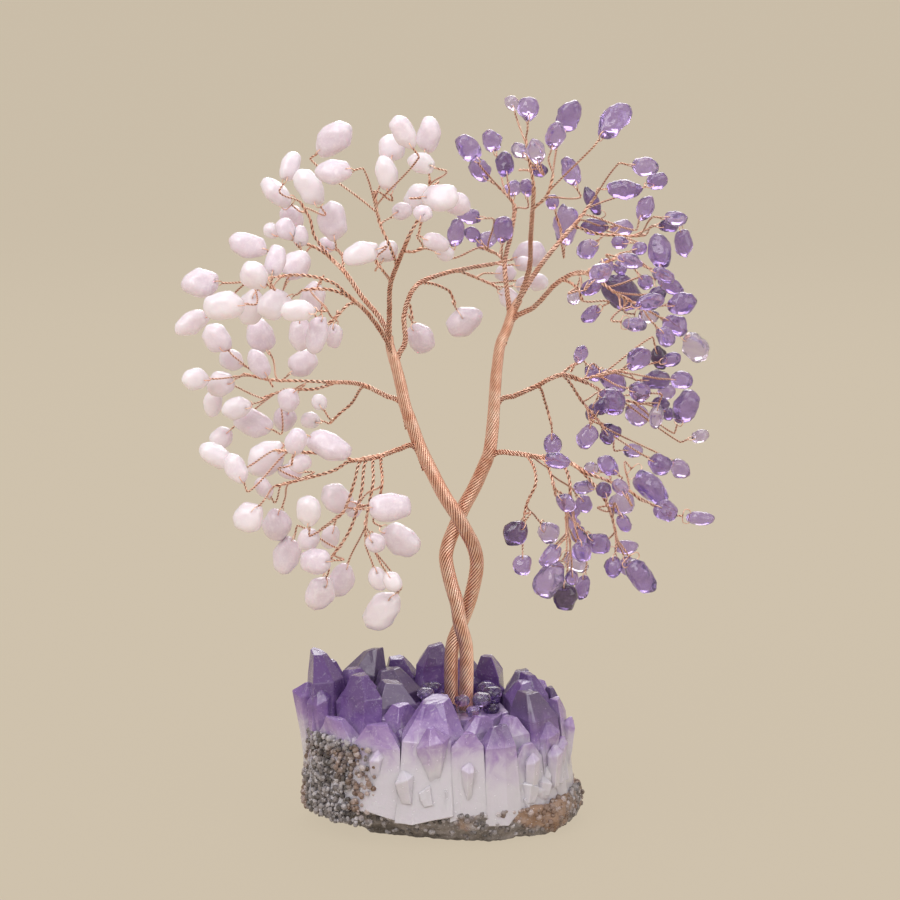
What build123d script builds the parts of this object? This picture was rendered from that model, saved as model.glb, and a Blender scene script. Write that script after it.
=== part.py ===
# Gemstone tree: drilled rose quartz and amethyst chips on two twisted copper wire trunks,
# set in a raw amethyst cluster. Millimetres, +Z up, the front faces -Y.
# The origin is the middle of the flat underside.
import os
from math import cos, pi, radians, sin, sqrt, tan

from build123d import *

os.makedirs("parts", exist_ok=True)

# Wire: a chip hangs on one wire, whose two legs make a twig; twigs make sprays, sprays make limbs
wire_radius = 0.16
twig_radius = 0.33
spray_radius = 0.55
stem_radius = 0.9
bundle_gap = 0.12
crotch_gap = 0.3
twig_spacing = 1.6
arrival = 2.6
arc_share = 0.45
widest_end_turn = radians(60)

# Chips: tumbled pebbles, drilled through near one end
hole_radius = 0.5
hole_inset = 1.5
rim_gap = 0.6
face_gap = 0.45
loop_corner = 0.5
thickness_share = 0.6
chip_thinnest = 2.2
chip_thickest = 4.6
rounded_share = 0.7
edge_on_share = 0.46
edge_on_roll = 62
edge_on_widening = 1.5
chip_sides = 9
chip_levels = ((-0.5, 0.58), (-0.2, 1.0), (0.24, 0.97), (0.5, 0.6))
chip_swing = 15
chip_roll = 18

# Depth: chips of one limb stand in layers behind one another
layer_pitch = 7.5

# Places are read off the front view as it is seen from a standing viewer, then slid along the sight line
viewer_x = -3
viewer_height = 236.6
viewer_distance = 687

# Cluster: rind, quartz bed and crystals, stacked on level planes
bed_bottom = 9
bed_top = 14
cluster_half_width = 37.5
cluster_half_depth = 28
cluster_middle_x = -5
rind_levels = ((0, 0.8, 6.5), (4.5, 0.93, 2.8), (bed_bottom, 0.98, 0.4))
bed_levels = ((bed_bottom, 0.98, 0.4), (bed_top, 1.0, -1.2))
outline_sides = 18
outline_roughness = 0.04

# Crystals as they stand side by side: x, y, reach, height of the tip; the seats round the socket are flat
crystals = (
    (-33, -13, 5.0, 32),
    (-22.5, -18.5, 5.2, 32),
    (-8, -18, 8.0, 37),
    (2, -23, 3.4, 31),
    (9.5, -20, 4.8, 31.5),
    (17.5, -17.5, 4.0, 26),
    (25.5, -11.5, 4.6, 28),
    (-38, -2, 6.0, 46),
    (-27.5, -7.5, 5.0, 42),
    (-18.5, -5, 5.6, 39.5),
    (-15.5, -11.5, 3.8, 35),
    (5, -14.5, 3.6, 33),
    (14, -12, 4.2, 32),
    (20.5, -7, 6.0, 37),
    (27, -2, 4.4, 34.5),
    (-29.5, 4, 5.0, 41),
    (-19, 7, 5.4, 40),
    (15, 1.5, 4.4, 37),
    (20.5, 5, 4.6, 38.5),
    (26, 7, 4.0, 35),
    (-37, 9, 5.0, 41),
    (-27, 14, 5.2, 43),
    (-17.5, 15.5, 4.8, 41),
    (-8.5, 14.5, 4.8, 45),
    (1, 16, 4.6, 40.5),
    (8.5, 13, 4.4, 42),
    (15.5, 12, 4.8, 38),
    (23, 14, 4.6, 35),
    (-20, 21.5, 4.5, 36),
    (-11, 23, 4.8, 34),
    (-1, 24, 4.8, 33),
    (8, 21.5, 4.4, 33),
    (16, 19, 4.2, 32),
)
seat_count = 6
seat_ring = 8.8
seat_reach = 4.4
seat_height = 31
seat_taper = 0.97
crystal_rim_share = 0.93
crystal_rim_shift = -1.2
crystal_gap = 0.25
crystal_short_edge = 0.8
crystal_taper = 0.9
crystal_cap_share = 1.05
crystal_tip_share = 0.3
crystal_tip_lean = 0.22

# Foot: both trunks stand in a glued socket in the middle of the cluster
foot_radius = 1.95
foot_bottom = 16
rose_foot = (-2.6, 1.7)
amethyst_foot = (1.4, -1.9)
socket_radius = 5.6
socket_gap = 0.3
foot_hole_gap = 0.1
foot_chip_count = 9
foot_chip_ring = 7.9
foot_chip_length = 5.2
foot_chip_width = 4.8
foot_chip_lift = 0.1


# A point at depth y that shows at (x, z) in the front view
def seen(x, z, y):
    share = (viewer_distance + y) / viewer_distance
    return Vector(
        viewer_x + (x - viewer_x) * share,
        y,
        viewer_height + (z - viewer_height) * share,
    )


# Solid between flat polygons that are scaled copies of one another, with flat sides
def faceted(rings):
    faces = [Face(Wire.make_polygon(rings[0])), Face(Wire.make_polygon(rings[-1]))]
    for low, high in zip(rings, rings[1:]):
        for j in range(len(low)):
            k = (j + 1) % len(low)
            faces.append(Face(Wire.make_polygon([low[j], low[k], high[k], high[j]])))
    return Solid(Shell(faces))


# Straight runs joined by the largest tangent arcs that their lengths allow
def bent_path(points):
    corners = [points[0]]
    for before, corner, after in zip(points, points[1:], points[2:]):
        if (corner - before).get_angle(after - corner) > 1.5:
            corners.append(corner)
    corners.append(points[-1])
    radii = []
    for before, corner, after in zip(corners, corners[1:], corners[2:]):
        run_in = corner - before
        run_out = after - corner
        half_turn = radians(run_in.get_angle(run_out)) / 2
        radii.append(arc_share * min(run_in.length, run_out.length) / tan(half_turn))
    with BuildLine() as path:
        if radii:
            FilletPolyline(*corners, radius=radii)
        else:
            Line(*corners)
    return path.wire()


def tube(path, radius):
    with BuildPart() as made:
        with BuildSketch(Plane(origin=path @ 0, z_dir=path % 0)):
            Circle(radius)
        sweep(path=path)
    return made.part


# First point of a bundle that leaves another one, clear of its side, or of its end where it goes on from it
def clear_start(host, share, toward, host_radius, radius):
    way = (toward - host @ share).normalized()
    turn = radians(way.get_angle(host % share))
    if share == 1 and turn < widest_end_turn:
        reach = (bundle_gap + radius * sin(turn)) / cos(turn)
    else:
        reach = (host_radius + bundle_gap + radius * abs(cos(turn))) / sin(turn)
    return host @ share + way * reach


def export_group(name, pieces):
    group = Compound([solid for piece in pieces for solid in piece.solids()])
    group.label = name
    export_step(group, f"parts/{name}.step")


# Chips

# Outline corners of a chip; the pattern makes every chip's outline different
def chip_outline(length, width, pattern):
    corners = []
    for j in range(chip_sides):
        angle = 2 * pi * (j + 0.22 * sin(2.3 * j + pattern)) / chip_sides
        reach = 1 - 0.13 * abs(sin(1.7 * j + 0.9 * pattern))
        corners.append((reach * length / 2 * cos(angle), reach * width / 2 * sin(angle)))
    return corners


def chip_thickness(width):
    return max(chip_thinnest, min(chip_thickest, thickness_share * width))


def chip_solid(plane, length, width, pattern):
    thickness = chip_thickness(width)
    outline = chip_outline(length, width, pattern)
    rings = []
    for level, share in chip_levels:
        shift = 0.04 * length * sin(3.1 * level + pattern)
        ring = [Vector(x * share + shift, y * share, level * thickness) for x, y in outline]
        rings.append([plane.from_local_coords(corner) for corner in ring])
    return faceted(rings)


# A chip's own plane: X points along it away from its twig, Z through its thickness
def chip_plane(middle, from_point, tilt, rounded, edge_on, pattern):
    along = Vector(cos(radians(tilt)), 0, sin(radians(tilt)))
    arriving = Vector(middle.X - from_point.X, 0, middle.Z - from_point.Z)
    if rounded:
        along = arriving.normalized()
    elif along.dot(arriving) < 0:
        along = -along
    facing = Vector(0, -1, 0)
    roll = chip_roll * sin(2.4 * pattern) + edge_on_roll * edge_on
    facing = facing.rotate(Axis((0, 0, 0), along), roll)
    swing = radians(chip_swing * sin(1.7 * pattern + 0.6))
    tipped = along * cos(swing) + facing * sin(swing)
    return Plane(middle, x_dir=tipped, z_dir=facing * cos(swing) - along * sin(swing))


def drilled_chip(plane, length, width, pattern):
    with BuildPart() as chip:
        add(chip_solid(plane, length, width, pattern))
        with BuildSketch(plane.offset(-chip_thickness(width))):
            with Locations((hole_inset - length / 2, 0)):
                Circle(hole_radius)
        extrude(amount=2 * chip_thickness(width), mode=Mode.SUBTRACT)
    return chip.part


# A twig: a twisted pair that ends in the wire's loop through the chip's hole
def looped_twig(start, plane, length, width):
    loop_out = Vector(-length / 2 - rim_gap, 0, 0)
    end = plane.from_local_coords(loop_out)
    before = end - plane.x_dir * min(arrival, 0.4 * (end - start).length)
    stalk = tube(bent_path([start, before, end]), twig_radius)
    loop_middle = plane.from_local_coords(Vector((hole_inset - rim_gap - length) / 2, 0, 0))
    with BuildSketch(Plane(loop_middle, x_dir=plane.x_dir, z_dir=plane.y_dir)) as lap:
        loop_width = hole_inset + rim_gap
        loop_height = chip_thickness(width) + 2 * face_gap
        RectangleRounded(loop_width, loop_height, loop_corner)
    loop = tube(lap.sketch.face().outer_wire(), wire_radius)
    with BuildPart() as twig:
        add([stalk, loop])
    return twig.part


# Limbs

# Chip rows: x, z, layer, length, width, tilt of the long axis
# Sprays: share of the stem at which it leaves, its route as (x, z), and its chips from its root to its end
# Stems: the height at which it leaves its trunk, its shift at a trunk's end, its depth, how far it bends
# up and down, and its route as (x, z, y)
rose_limbs = {
    "rose_lower": dict(
        leaves=104.3, shift=0, depth=-16, swing=(-10, 10),
        route=[(-16.7, 103.2, -4), (-22.7, 101.0, -9), (-30.2, 99.9, -15)],
        sprays=[
            (0.50, [(-21.3, 94.4), (-22.1, 89.4)], [
                (-28.9, 86.7, 2, 4.3, 3.4, 0),
                (-16.5, 78.2, 1, 11.3, 7.6, -30),
                (-19.7, 87.2, -1, 11.9, 7.3, 5)]),
            (0.62, [(-23.8, 94.1), (-25.7, 83.7), (-25.9, 76.5)], [
                (-23.2, 77.3, -1, 4.9, 4.6, 0),
                (-32.7, 66.6, 1, 9.2, 6.5, 40),
                (-18.6, 66.3, -1, 5.4, 3.9, -60),
                (-21.6, 58.1, 1, 12.4, 8.1, 50),
                (-22.7, 67.4, 0, 5.9, 4.3, 90)]),
            (0.74, [(-27.0, 91.4), (-30.2, 80.9), (-35.6, 72.7)], [
                (-47.3, 74.0, 1, 10.3, 6.8, 70),
                (-39.4, 72.1, -1, 8.1, 6.5, 0),
                (-38.6, 63.0, 0, 9.7, 7.3, -45)]),
            (0.82, [(-28.9, 94.1), (-31.9, 85.9), (-35.4, 83.1)], [
                (-33.8, 89.7, 1, 9.7, 7.0, -80),
                (-41.3, 86.4, -1, 8.6, 5.9, 90),
                (-35.4, 79.0, 1, 5.9, 4.3, 0),
                (-41.3, 78.4, 0, 5.9, 5.1, 0)]),
            (0.91, [(-33.5, 101.5), (-42.4, 102.4), (-50.5, 102.9)], [
                (-35.9, 104.3, -1, 12.4, 6.5, -25),
                (-44.6, 105.4, -2, 6.5, 4.9, 60),
                (-61.0, 98.2, -1, 8.1, 4.9, -60),
                (-52.9, 100.4, 1, 11.3, 8.6, -40),
                (-66.2, 101.5, 0, 9.7, 4.1, -12)]),
            (1.0, [(-34.3, 97.4), (-43.7, 94.7), (-50.5, 93.0)], [
                (-43.7, 99.3, 0, 5.9, 3.8, 15),
                (-45.9, 97.1, 1, 6.5, 3.5, 0),
                (-50.0, 82.3, 1, 8.4, 7.3, 0),
                (-53.5, 92.7, 0, 5.9, 3.4, -60),
                (-57.8, 84.2, -1, 7.8, 7.3, 0)]),
        ],
    ),
    "rose_middle": dict(
        leaves=115.3, shift=0, depth=16, swing=(-10, 10),
        route=[(-20.0, 117.8, 4), (-27.5, 121.1, 9), (-36.2, 121.6, 15)],
        sprays=[
            (0.50, [(-29.7, 115.6), (-32.9, 112.8), (-35.4, 110.3)], [
                (-38.1, 116.1, -1, 4.0, 3.4, 0),
                (-40.5, 111.2, 0, 4.9, 3.8, 0)]),
            (0.85, [(-39.4, 119.7), (-47.0, 119.4), (-53.5, 117.2)], [
                (-46.4, 116.9, -1, 5.9, 5.4, 0),
                (-47.5, 111.7, 1, 7.0, 5.9, 0),
                (-56.4, 110.6, 0, 11.3, 7.0, -20),
                (-64.8, 106.2, 1, 6.5, 5.4, 90),
                (-60.5, 114.5, -1, 7.6, 5.4, 90),
                (-66.7, 116.1, 1, 8.1, 4.6, 75)]),
            (1.0, [(-42.4, 121.9), (-51.3, 122.2), (-58.3, 123.8)], [
                (-42.7, 126.6, 1, 8.6, 6.8, -40),
                (-53.7, 134.0, 1, 9.5, 7.3, -30),
                (-54.3, 126.6, -1, 8.1, 4.9, -60),
                (-65.6, 133.7, 0, 8.6, 6.8, -30),
                (-61.8, 127.7, 1, 7.0, 5.1, 25),
                (-71.3, 122.4, -1, 6.8, 5.4, -30),
                (-64.5, 121.1, 0, 7.6, 6.5, 0)]),
        ],
    ),
    "rose_outer": dict(
        leaves=128.5, shift=0, depth=-16, swing=(-10, 10),
        route=[(-20.5, 133.7, -4), (-25.1, 140.3, -9), (-30.2, 145.0, -14)],
        sprays=[
            (0.80, [(-30.2, 142.5), (-32.4, 140.3), (-35.6, 137.3)], [
                (-34.0, 134.3, 1, 6.5, 3.8, 80),
                (-38.6, 134.3, -1, 9.7, 4.9, 75),
                (-42.9, 134.5, 0, 8.6, 5.9, 90)]),
            (0.92, [(-34.3, 146.4), (-39.0, 146.8), (-42.4, 146.4)], [
                (-39.7, 144.2, 1, 8.1, 5.9, 0),
                (-43.7, 140.9, -2, 8.6, 4.9, 0),
                (-49.7, 142.8, 0, 9.2, 7.3, -45)]),
            (1.0, [(-34.6, 148.6), (-43.7, 150.5), (-58.6, 148.6)], [
                (-44.3, 153.0, 1, 8.6, 6.8, -50),
                (-49.4, 154.3, -1, 8.1, 4.6, 80),
                (-57.0, 158.5, 1, 10.3, 5.9, -15),
                (-55.4, 150.5, -2, 7.3, 6.5, 0),
                (-56.2, 141.7, 1, 9.2, 6.8, -10),
                (-63.2, 142.2, -1, 10.8, 7.0, 5),
                (-71.8, 137.8, 1, 9.7, 5.1, 25),
                (-69.4, 148.3, 0, 9.7, 7.0, 0)]),
        ],
    ),
    "rose_shoulder": dict(
        leaves=134.0, shift=1.1, depth=16, swing=(-8, 8),
        route=[(-21.9, 139.2, 3), (-26.5, 144.7, 7), (-30.8, 151.0, 11), (-35.1, 155.4, 15)],
        sprays=[
            (0.78, [(-31.6, 155.6), (-33.2, 157.6)], [
                (-35.9, 158.5, 1, 4.3, 3.5, 0),
                (-34.3, 165.3, 0, 10.8, 7.6, 15)]),
            (0.92, [(-38.9, 160.7), (-40.2, 165.6), (-42.7, 170.0)], [
                (-49.1, 172.5, 1, 9.7, 4.1, -25),
                (-40.2, 173.9, -1, 10.8, 6.5, -60),
                (-45.4, 179.1, 0, 8.4, 4.6, 65)]),
            (1.0, [(-38.9, 157.9), (-43.0, 159.4), (-45.6, 160.2)], [
                (-42.7, 160.7, -1, 5.4, 3.5, 90),
                (-45.1, 165.9, 2, 7.0, 5.9, 0),
                (-46.7, 162.9, -1, 5.9, 4.6, 60),
                (-50.5, 162.3, 0, 4.0, 3.4, 90)]),
        ],
    ),
    "rose_crown": dict(
        leaves=134.0, shift=-1.1, depth=-16, swing=(-8, 8),
        route=[(-19.2, 140.9, -3), (-18.9, 148.0, -7), (-16.5, 154.6, -11), (-13.8, 161.2, -15)],
        sprays=[
            (0.50, [(-21.1, 151.9), (-22.9, 154.6)], [
                (-19.7, 156.8, 1, 5.9, 4.6, 45),
                (-26.5, 156.3, 0, 9.7, 5.4, 15)]),
            (0.66, [(-18.9, 157.9), (-21.9, 165.1), (-22.9, 172.8)], [
                (-15.9, 167.5, 1, 4.9, 3.8, 0),
                (-33.8, 178.0, -1, 9.2, 5.7, 3),
                (-33.5, 186.8, 1, 11.3, 7.3, 40),
                (-15.4, 188.7, -2, 9.2, 4.9, -60),
                (-18.4, 184.3, 1, 7.0, 6.5, 0),
                (-19.7, 177.2, 0, 9.2, 5.1, -80)]),
            (0.82, [(-12.4, 156.8), (-10.3, 157.9)], [
                (-4.3, 156.3, 1, 4.0, 3.4, -60),
                (-6.8, 159.3, 0, 7.0, 3.8, -20)]),
            (1.0, [(-11.9, 164.5), (-8.6, 170.0), (-8.4, 176.6)], [
                (-10.3, 167.0, -2, 4.3, 3.4, 0),
                (-1.1, 169.5, 1, 7.6, 5.4, -45),
                (-5.4, 171.1, -1, 9.7, 6.5, 0),
                (-11.6, 171.4, 2, 7.6, 5.4, 90),
                (-10.3, 180.2, -1, 6.8, 4.6, -20),
                (-8.6, 187.6, 0, 9.2, 5.4, 80)]),
        ],
    ),
    "rose_reach": dict(
        leaves=126.3, shift=0, depth=21, swing=(-4, 8),
        route=[(-15.0, 132.5, 4), (-15.2, 140.0, 7), (-12.2, 147.4, 10),
               (-5.9, 150.5, 15), (2.2, 152.4, 19), (8.6, 153.5, 21)],
        sprays=[
            (0.28, [(-13.8, 142.5), (-13.0, 138.7)], [
                (-10.8, 133.4, -1, 8.4, 6.8, -70)]),
            (0.50, [(-3.5, 146.4), (-1.6, 142.8)], [
                (0.8, 137.8, -1, 7.0, 10.3, 90)]),
            (0.76, [(4.9, 149.4), (9.2, 147.5)], [
                (11.9, 151.0, 1, 5.4, 4.3, 0),
                (12.7, 144.4, 0, 5.9, 4.6, 0),
                (20.3, 148.6, 1, 5.4, 4.1, 0),
                (16.5, 148.0, 0, 4.0, 3.4, 0)]),
            (1.0, [(10.2, 154.0), (11.6, 154.3)], [
                (16.7, 153.5, -1, 4.0, 3.4, 0),
                (18.4, 156.0, 0, 9.2, 7.0, 60)]),
        ],
    ),
}

amethyst_limbs = {
    "amethyst_lower": dict(
        leaves=101.8, shift=0, depth=-16, swing=(-10, 10),
        route=[(14.3, 102.1, -4), (21.1, 101.0, -8), (28.4, 99.9, -12), (34.0, 96.6, -15)],
        sprays=[
            (0.35, [(20.3, 94.7), (17.8, 88.1), (17.0, 83.9)], [
                (23.8, 80.1, 1, 5.9, 5.7, 0),
                (14.9, 80.1, -1, 7.0, 6.5, 0),
                (16.7, 71.3, 0, 5.4, 5.1, 0)]),
            (0.52, [(24.6, 95.2), (25.6, 90.5)], [
                (25.7, 100.2, -1, 7.0, 4.1, -10),
                (33.2, 88.1, 2, 5.1, 4.6, 0),
                (28.6, 88.3, -1, 5.7, 4.1, 90),
                (30.6, 86.2, 1, 4.0, 3.4, 0),
                (30.5, 82.8, 2, 4.0, 3.4, 0)]),
            (0.70, [(29.5, 93.5), (28.5, 84.5), (29.7, 77.1)], [
                (32.1, 79.5, 1, 4.9, 4.3, 0),
                (32.7, 74.9, -2, 5.7, 5.1, 0),
                (24.3, 73.8, -2, 7.0, 4.1, 50),
                (37.5, 77.1, -1, 7.4, 5.4, 90),
                (23.8, 66.6, -1, 11.9, 5.1, 52),
                (33.2, 64.7, 1, 7.3, 3.8, 85),
                (31.1, 71.8, 2, 7.6, 3.4, -20),
                (30.2, 67.7, -1, 4.0, 3.4, 0),
                (28.4, 62.5, 0, 8.1, 6.8, -60)]),
            (0.88, [(37.5, 91.4), (40.5, 85.9), (42.7, 76.8)], [
                (33.2, 92.7, 1, 5.4, 3.5, 0),
                (38.6, 92.2, -1, 4.3, 3.8, 0),
                (43.7, 88.3, 1, 7.6, 6.2, 0),
                (44.3, 82.8, -1, 5.4, 3.4, -65),
                (41.6, 70.7, -1, 5.4, 4.6, 0),
                (44.6, 76.2, 1, 7.0, 3.5, 0),
                (48.9, 68.0, -1, 11.3, 4.9, -70),
                (45.6, 70.7, 0, 5.1, 4.9, 0)]),
            (1.0, [(39.4, 94.7), (45.4, 91.9), (48.6, 89.2)], [
                (35.1, 98.0, 1, 4.0, 3.4, 0),
                (39.7, 98.8, 0, 6.8, 4.1, -45),
                (43.2, 92.7, -1, 4.9, 3.8, 0),
                (50.8, 93.0, 1, 11.9, 4.9, -33),
                (64.8, 84.2, 1, 8.1, 2.8, -5),
                (55.6, 86.1, 0, 7.3, 5.4, 10)]),
        ],
    ),
    "amethyst_middle": dict(
        leaves=115.8, shift=0, depth=16, swing=(-10, 10),
        route=[(14.3, 117.8, 4), (19.7, 120.2, 8), (27.0, 123.5, 12), (34.0, 121.3, 15)],
        sprays=[
            (0.45, [(22.7, 115.6), (24.3, 110.1)], [
                (24.8, 104.3, 0, 5.9, 4.9, 90)]),
            (0.70, [(30.0, 126.3), (31.9, 126.8)], [
                (32.1, 129.3, -1, 5.4, 3.8, 0),
                (35.6, 124.1, 2, 5.4, 4.6, 0)]),
            (0.72, [(32.6, 116.2), (37.0, 111.0), (41.0, 106.5)], [
                (35.4, 113.6, 1, 5.4, 3.4, 70),
                (37.8, 115.0, -2, 4.9, 3.4, 60),
                (34.0, 106.5, -1, 7.4, 5.3, 0),
                (40.8, 108.4, 1, 6.5, 3.4, -30),
                (39.4, 106.5, -1, 4.0, 3.4, 0),
                (59.1, 98.0, 1, 6.5, 4.9, -20),
                (53.7, 99.1, -1, 6.5, 5.9, 0),
                (46.2, 102.9, 0, 5.9, 3.8, 0)]),
            (0.91, [(41.0, 124.6), (45.2, 123.9)], [
                (40.8, 121.9, 1, 8.6, 5.9, -40),
                (47.8, 128.2, -2, 7.8, 5.7, 90),
                (48.1, 118.9, -1, 5.9, 5.4, 0),
                (53.2, 128.2, 1, 6.8, 4.6, -70),
                (55.1, 119.1, 1, 4.9, 4.6, 0),
                (56.4, 127.7, -1, 5.4, 3.8, -45),
                (59.1, 122.2, -1, 6.5, 4.9, 0),
                (52.7, 122.2, 0, 8.1, 5.4, 0)]),
            (1.0, [(40.5, 117.8), (48.0, 115.6)], [
                (40.8, 116.1, -1, 8.1, 7.0, 0),
                (47.3, 112.8, 1, 7.3, 5.9, 0),
                (52.7, 112.3, -1, 7.0, 3.5, 80),
                (64.3, 106.8, 1, 5.4, 3.4, 15),
                (55.6, 113.1, 2, 4.0, 3.4, 90),
                (60.5, 115.0, 1, 10.3, 7.0, 65),
                (53.7, 115.8, 0, 4.9, 3.4, 0)]),
        ],
    ),
    "amethyst_outer": dict(
        leaves=138.0, shift=0, depth=-16, swing=(-10, 10),
        route=[(19.5, 142.0, -4), (25.7, 148.5, -8), (31.9, 151.3, -12), (36.7, 149.1, -15)],
        sprays=[
            (0.60, [(31.1, 146.9), (32.4, 143.6)], [
                (34.6, 147.2, -1, 5.4, 3.8, 0),
                (30.2, 144.7, 2, 4.6, 3.4, 0),
                (34.8, 140.0, 0, 5.9, 3.5, 40)]),
            (0.86, [(37.3, 153.5), (43.6, 155.3), (47.4, 154.3)], [
                (38.6, 153.0, 1, 4.0, 3.4, 0),
                (37.0, 151.0, -2, 5.9, 5.1, 0),
                (42.4, 152.5, 2, 4.0, 3.4, 0),
                (45.1, 154.3, -2, 6.8, 3.8, -20),
                (47.3, 157.4, 1, 4.0, 3.4, 0),
                (48.9, 148.8, -1, 4.0, 3.4, 0),
                (53.7, 150.5, 0, 6.5, 3.4, -25),
                (52.7, 156.8, 1, 9.7, 6.2, -75)]),
            (1.0, [(41.0, 145.8), (47.0, 142.6), (50.6, 140.6)], [
                (42.9, 145.5, 2, 12.4, 9.2, 60),
                (56.2, 147.5, 1, 8.1, 2.8, -10),
                (52.4, 145.3, -1, 4.0, 3.4, 0),
                (50.2, 143.3, -2, 8.1, 4.1, 10),
                (49.9, 139.5, 2, 5.9, 2.6, 0),
                (46.4, 137.3, -1, 5.9, 2.6, 0),
                (59.1, 142.8, -1, 8.1, 5.7, -20),
                (54.8, 133.7, -2, 5.9, 4.3, 80),
                (62.9, 131.0, 1, 8.6, 6.5, -50),
                (57.0, 137.0, 0, 6.8, 5.7, 0)]),
        ],
    ),
    "amethyst_shoulder": dict(
        leaves=143.9, shift=1.1, depth=16, swing=(-8, 8),
        route=[(20.3, 151.9, 4), (25.4, 158.5, 9), (31.1, 165.1, 14)],
        sprays=[
            (0.72, [(26.5, 162.3), (25.4, 165.6)], [
                (27.8, 164.2, 1, 12.4, 6.8, 85),
                (24.3, 170.0, 0, 4.0, 3.4, 90)]),
            (0.90, [(36.2, 161.5), (45.4, 160.9), (49.0, 161.2)], [
                (33.5, 157.4, -1, 5.9, 5.1, 0),
                (35.1, 163.4, 1, 8.1, 4.3, 0),
                (41.9, 159.3, -1, 4.9, 3.4, 0),
                (42.7, 163.1, 2, 7.0, 4.1, 0),
                (58.9, 159.3, 1, 8.1, 4.9, -80),
                (57.0, 165.6, -1, 7.0, 3.8, 0),
                (55.1, 163.7, 0, 5.9, 3.5, 0)]),
            (1.0, [(33.8, 169.0), (35.6, 171.4)], [
                (34.8, 170.0, 1, 9.2, 2.6, -50),
                (48.9, 168.6, -1, 7.3, 4.3, 65),
                (51.8, 175.5, 1, 5.9, 4.6, 60),
                (48.3, 179.4, -1, 7.6, 4.9, -5),
                (42.7, 173.3, 0, 10.0, 5.4, 0)]),
        ],
    ),
    "amethyst_crown": dict(
        leaves=143.9, shift=-1.1, depth=-16, swing=(-8, 8),
        route=[(18.1, 152.4, -3), (18.4, 160.1, -8), (18.9, 167.8, -12), (19.2, 173.9, -15)],
        sprays=[
            (0.80, [(22.7, 171.7), (24.3, 177.2)], [
                (28.9, 178.0, 1, 8.1, 4.6, -70),
                (40.5, 191.7, -1, 11.9, 6.5, 55),
                (28.4, 192.8, 1, 9.7, 5.9, 70),
                (24.8, 187.6, 0, 7.6, 4.9, 75)]),
            (1.0, [(18.1, 179.9), (17.0, 186.5)], [
                (20.5, 178.5, 1, 4.0, 3.4, 0),
                (15.4, 183.5, 1, 4.9, 3.8, 90),
                (19.7, 183.2, -1, 6.5, 4.3, -75),
                (13.2, 196.1, 1, 4.0, 3.4, 0),
                (17.6, 194.8, 0, 6.5, 5.4, -60)]),
        ],
    ),
    "amethyst_reach": dict(
        leaves=138.1, shift=0, depth=14, swing=(-6, 8),
        route=[(12.2, 146.4, 3), (11.6, 154.1, 7), (13.2, 161.2, 10), (14.3, 168.4, 13)],
        sprays=[
            (0.48, [(9.2, 156.3), (5.1, 157.9)], [
                (11.1, 162.9, -1, 7.3, 5.4, 60),
                (6.8, 159.8, 1, 7.0, 4.3, 35),
                (3.2, 161.2, -1, 5.1, 3.8, 0),
                (2.2, 166.2, -1, 7.0, 4.1, -5),
                (-1.4, 161.8, 0, 8.1, 4.3, 80)]),
            (1.0, [(12.7, 171.1), (9.4, 174.4)], [
                (17.3, 173.9, -1, 4.9, 3.4, 90),
                (13.8, 173.6, 1, 5.1, 4.1, 90),
                (11.6, 179.9, -1, 6.8, 4.9, -15),
                (8.1, 186.0, 1, 6.5, 5.1, 70),
                (1.9, 184.0, -1, 8.1, 5.9, -35),
                (4.9, 178.5, 0, 7.0, 5.4, -20)]),
        ],
    ),
}

# Trunk sections from the foot up: x, z, y, radius of the wire bundle
rose_trunk_sections = [
    (-2.4, 47.9, 1.75, 1.95),
    (0.0, 54.8, 2.3, 1.95),
    (1.6, 58.9, 2.0, 1.95),
    (3.2, 64.4, 1.0, 1.95),
    (4.3, 71.3, 0.0, 1.95),
    (3.5, 76.0, -1.0, 1.95),
    (1.4, 80.4, -2.0, 1.95),
    (-1.1, 85.0, -2.3, 1.95),
    (-4.6, 90.5, -1.8, 1.9),
    (-8.1, 97.4, -0.9, 1.85),
    (-11.3, 104.3, 0.0, 1.8),
    (-13.2, 109.8, 0.0, 1.75),
    (-15.1, 115.3, 0.0, 1.65),
    (-16.2, 120.8, 0.0, 1.6),
    (-17.6, 126.3, 0.0, 1.5),
    (-19.0, 131.0, 0.0, 1.45),
    (-19.3, 134.0, 0.0, 1.45),
]
amethyst_trunk_sections = [
    (1.4, 47.9, -1.75, 1.95),
    (-0.3, 54.8, -2.3, 1.95),
    (-1.1, 60.3, -2.0, 1.95),
    (-2.7, 65.8, -1.0, 1.95),
    (-4.1, 72.7, 0.0, 1.95),
    (-3.5, 76.8, 1.0, 1.95),
    (-1.4, 82.3, 2.0, 1.95),
    (0.8, 87.5, 2.3, 1.95),
    (3.2, 91.9, 1.8, 1.9),
    (5.7, 97.4, 0.9, 1.85),
    (7.6, 102.4, 0.0, 1.8),
    (8.4, 108.4, 0.0, 1.75),
    (8.9, 115.3, 0.0, 1.65),
    (9.2, 120.8, 0.0, 1.6),
    (9.7, 126.3, 0.0, 1.5),
    (10.5, 131.8, 0.0, 1.45),
    (12.2, 135.9, 0.0, 1.4),
    (13.8, 140.9, 0.0, 1.4),
    (15.4, 143.9, 0.0, 1.4),
]


# Full bundle from the socket up: each section's middle and radius
def trunk_line(sections, foot):
    line = [(Vector(*foot, foot_bottom), foot_radius), (Vector(*foot, seat_height), foot_radius)]
    for x, z, y, radius in sections:
        line.append((seen(x, z, y), radius))
    return line


def trunk_solid(line):
    middles = [middle for middle, radius in line]
    before = [middles[0], middles[0]] + middles[1:-1]
    after = [middles[1], middles[1]] + middles[3:] + [middles[-1]]
    with BuildPart() as trunk:
        for (middle, radius), low, high in zip(line, before, after):
            with BuildSketch(Plane(middle, x_dir=(0, 1, 0), z_dir=high - low)):
                Circle(radius)
        loft(ruled=True)
    return trunk.part


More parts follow.
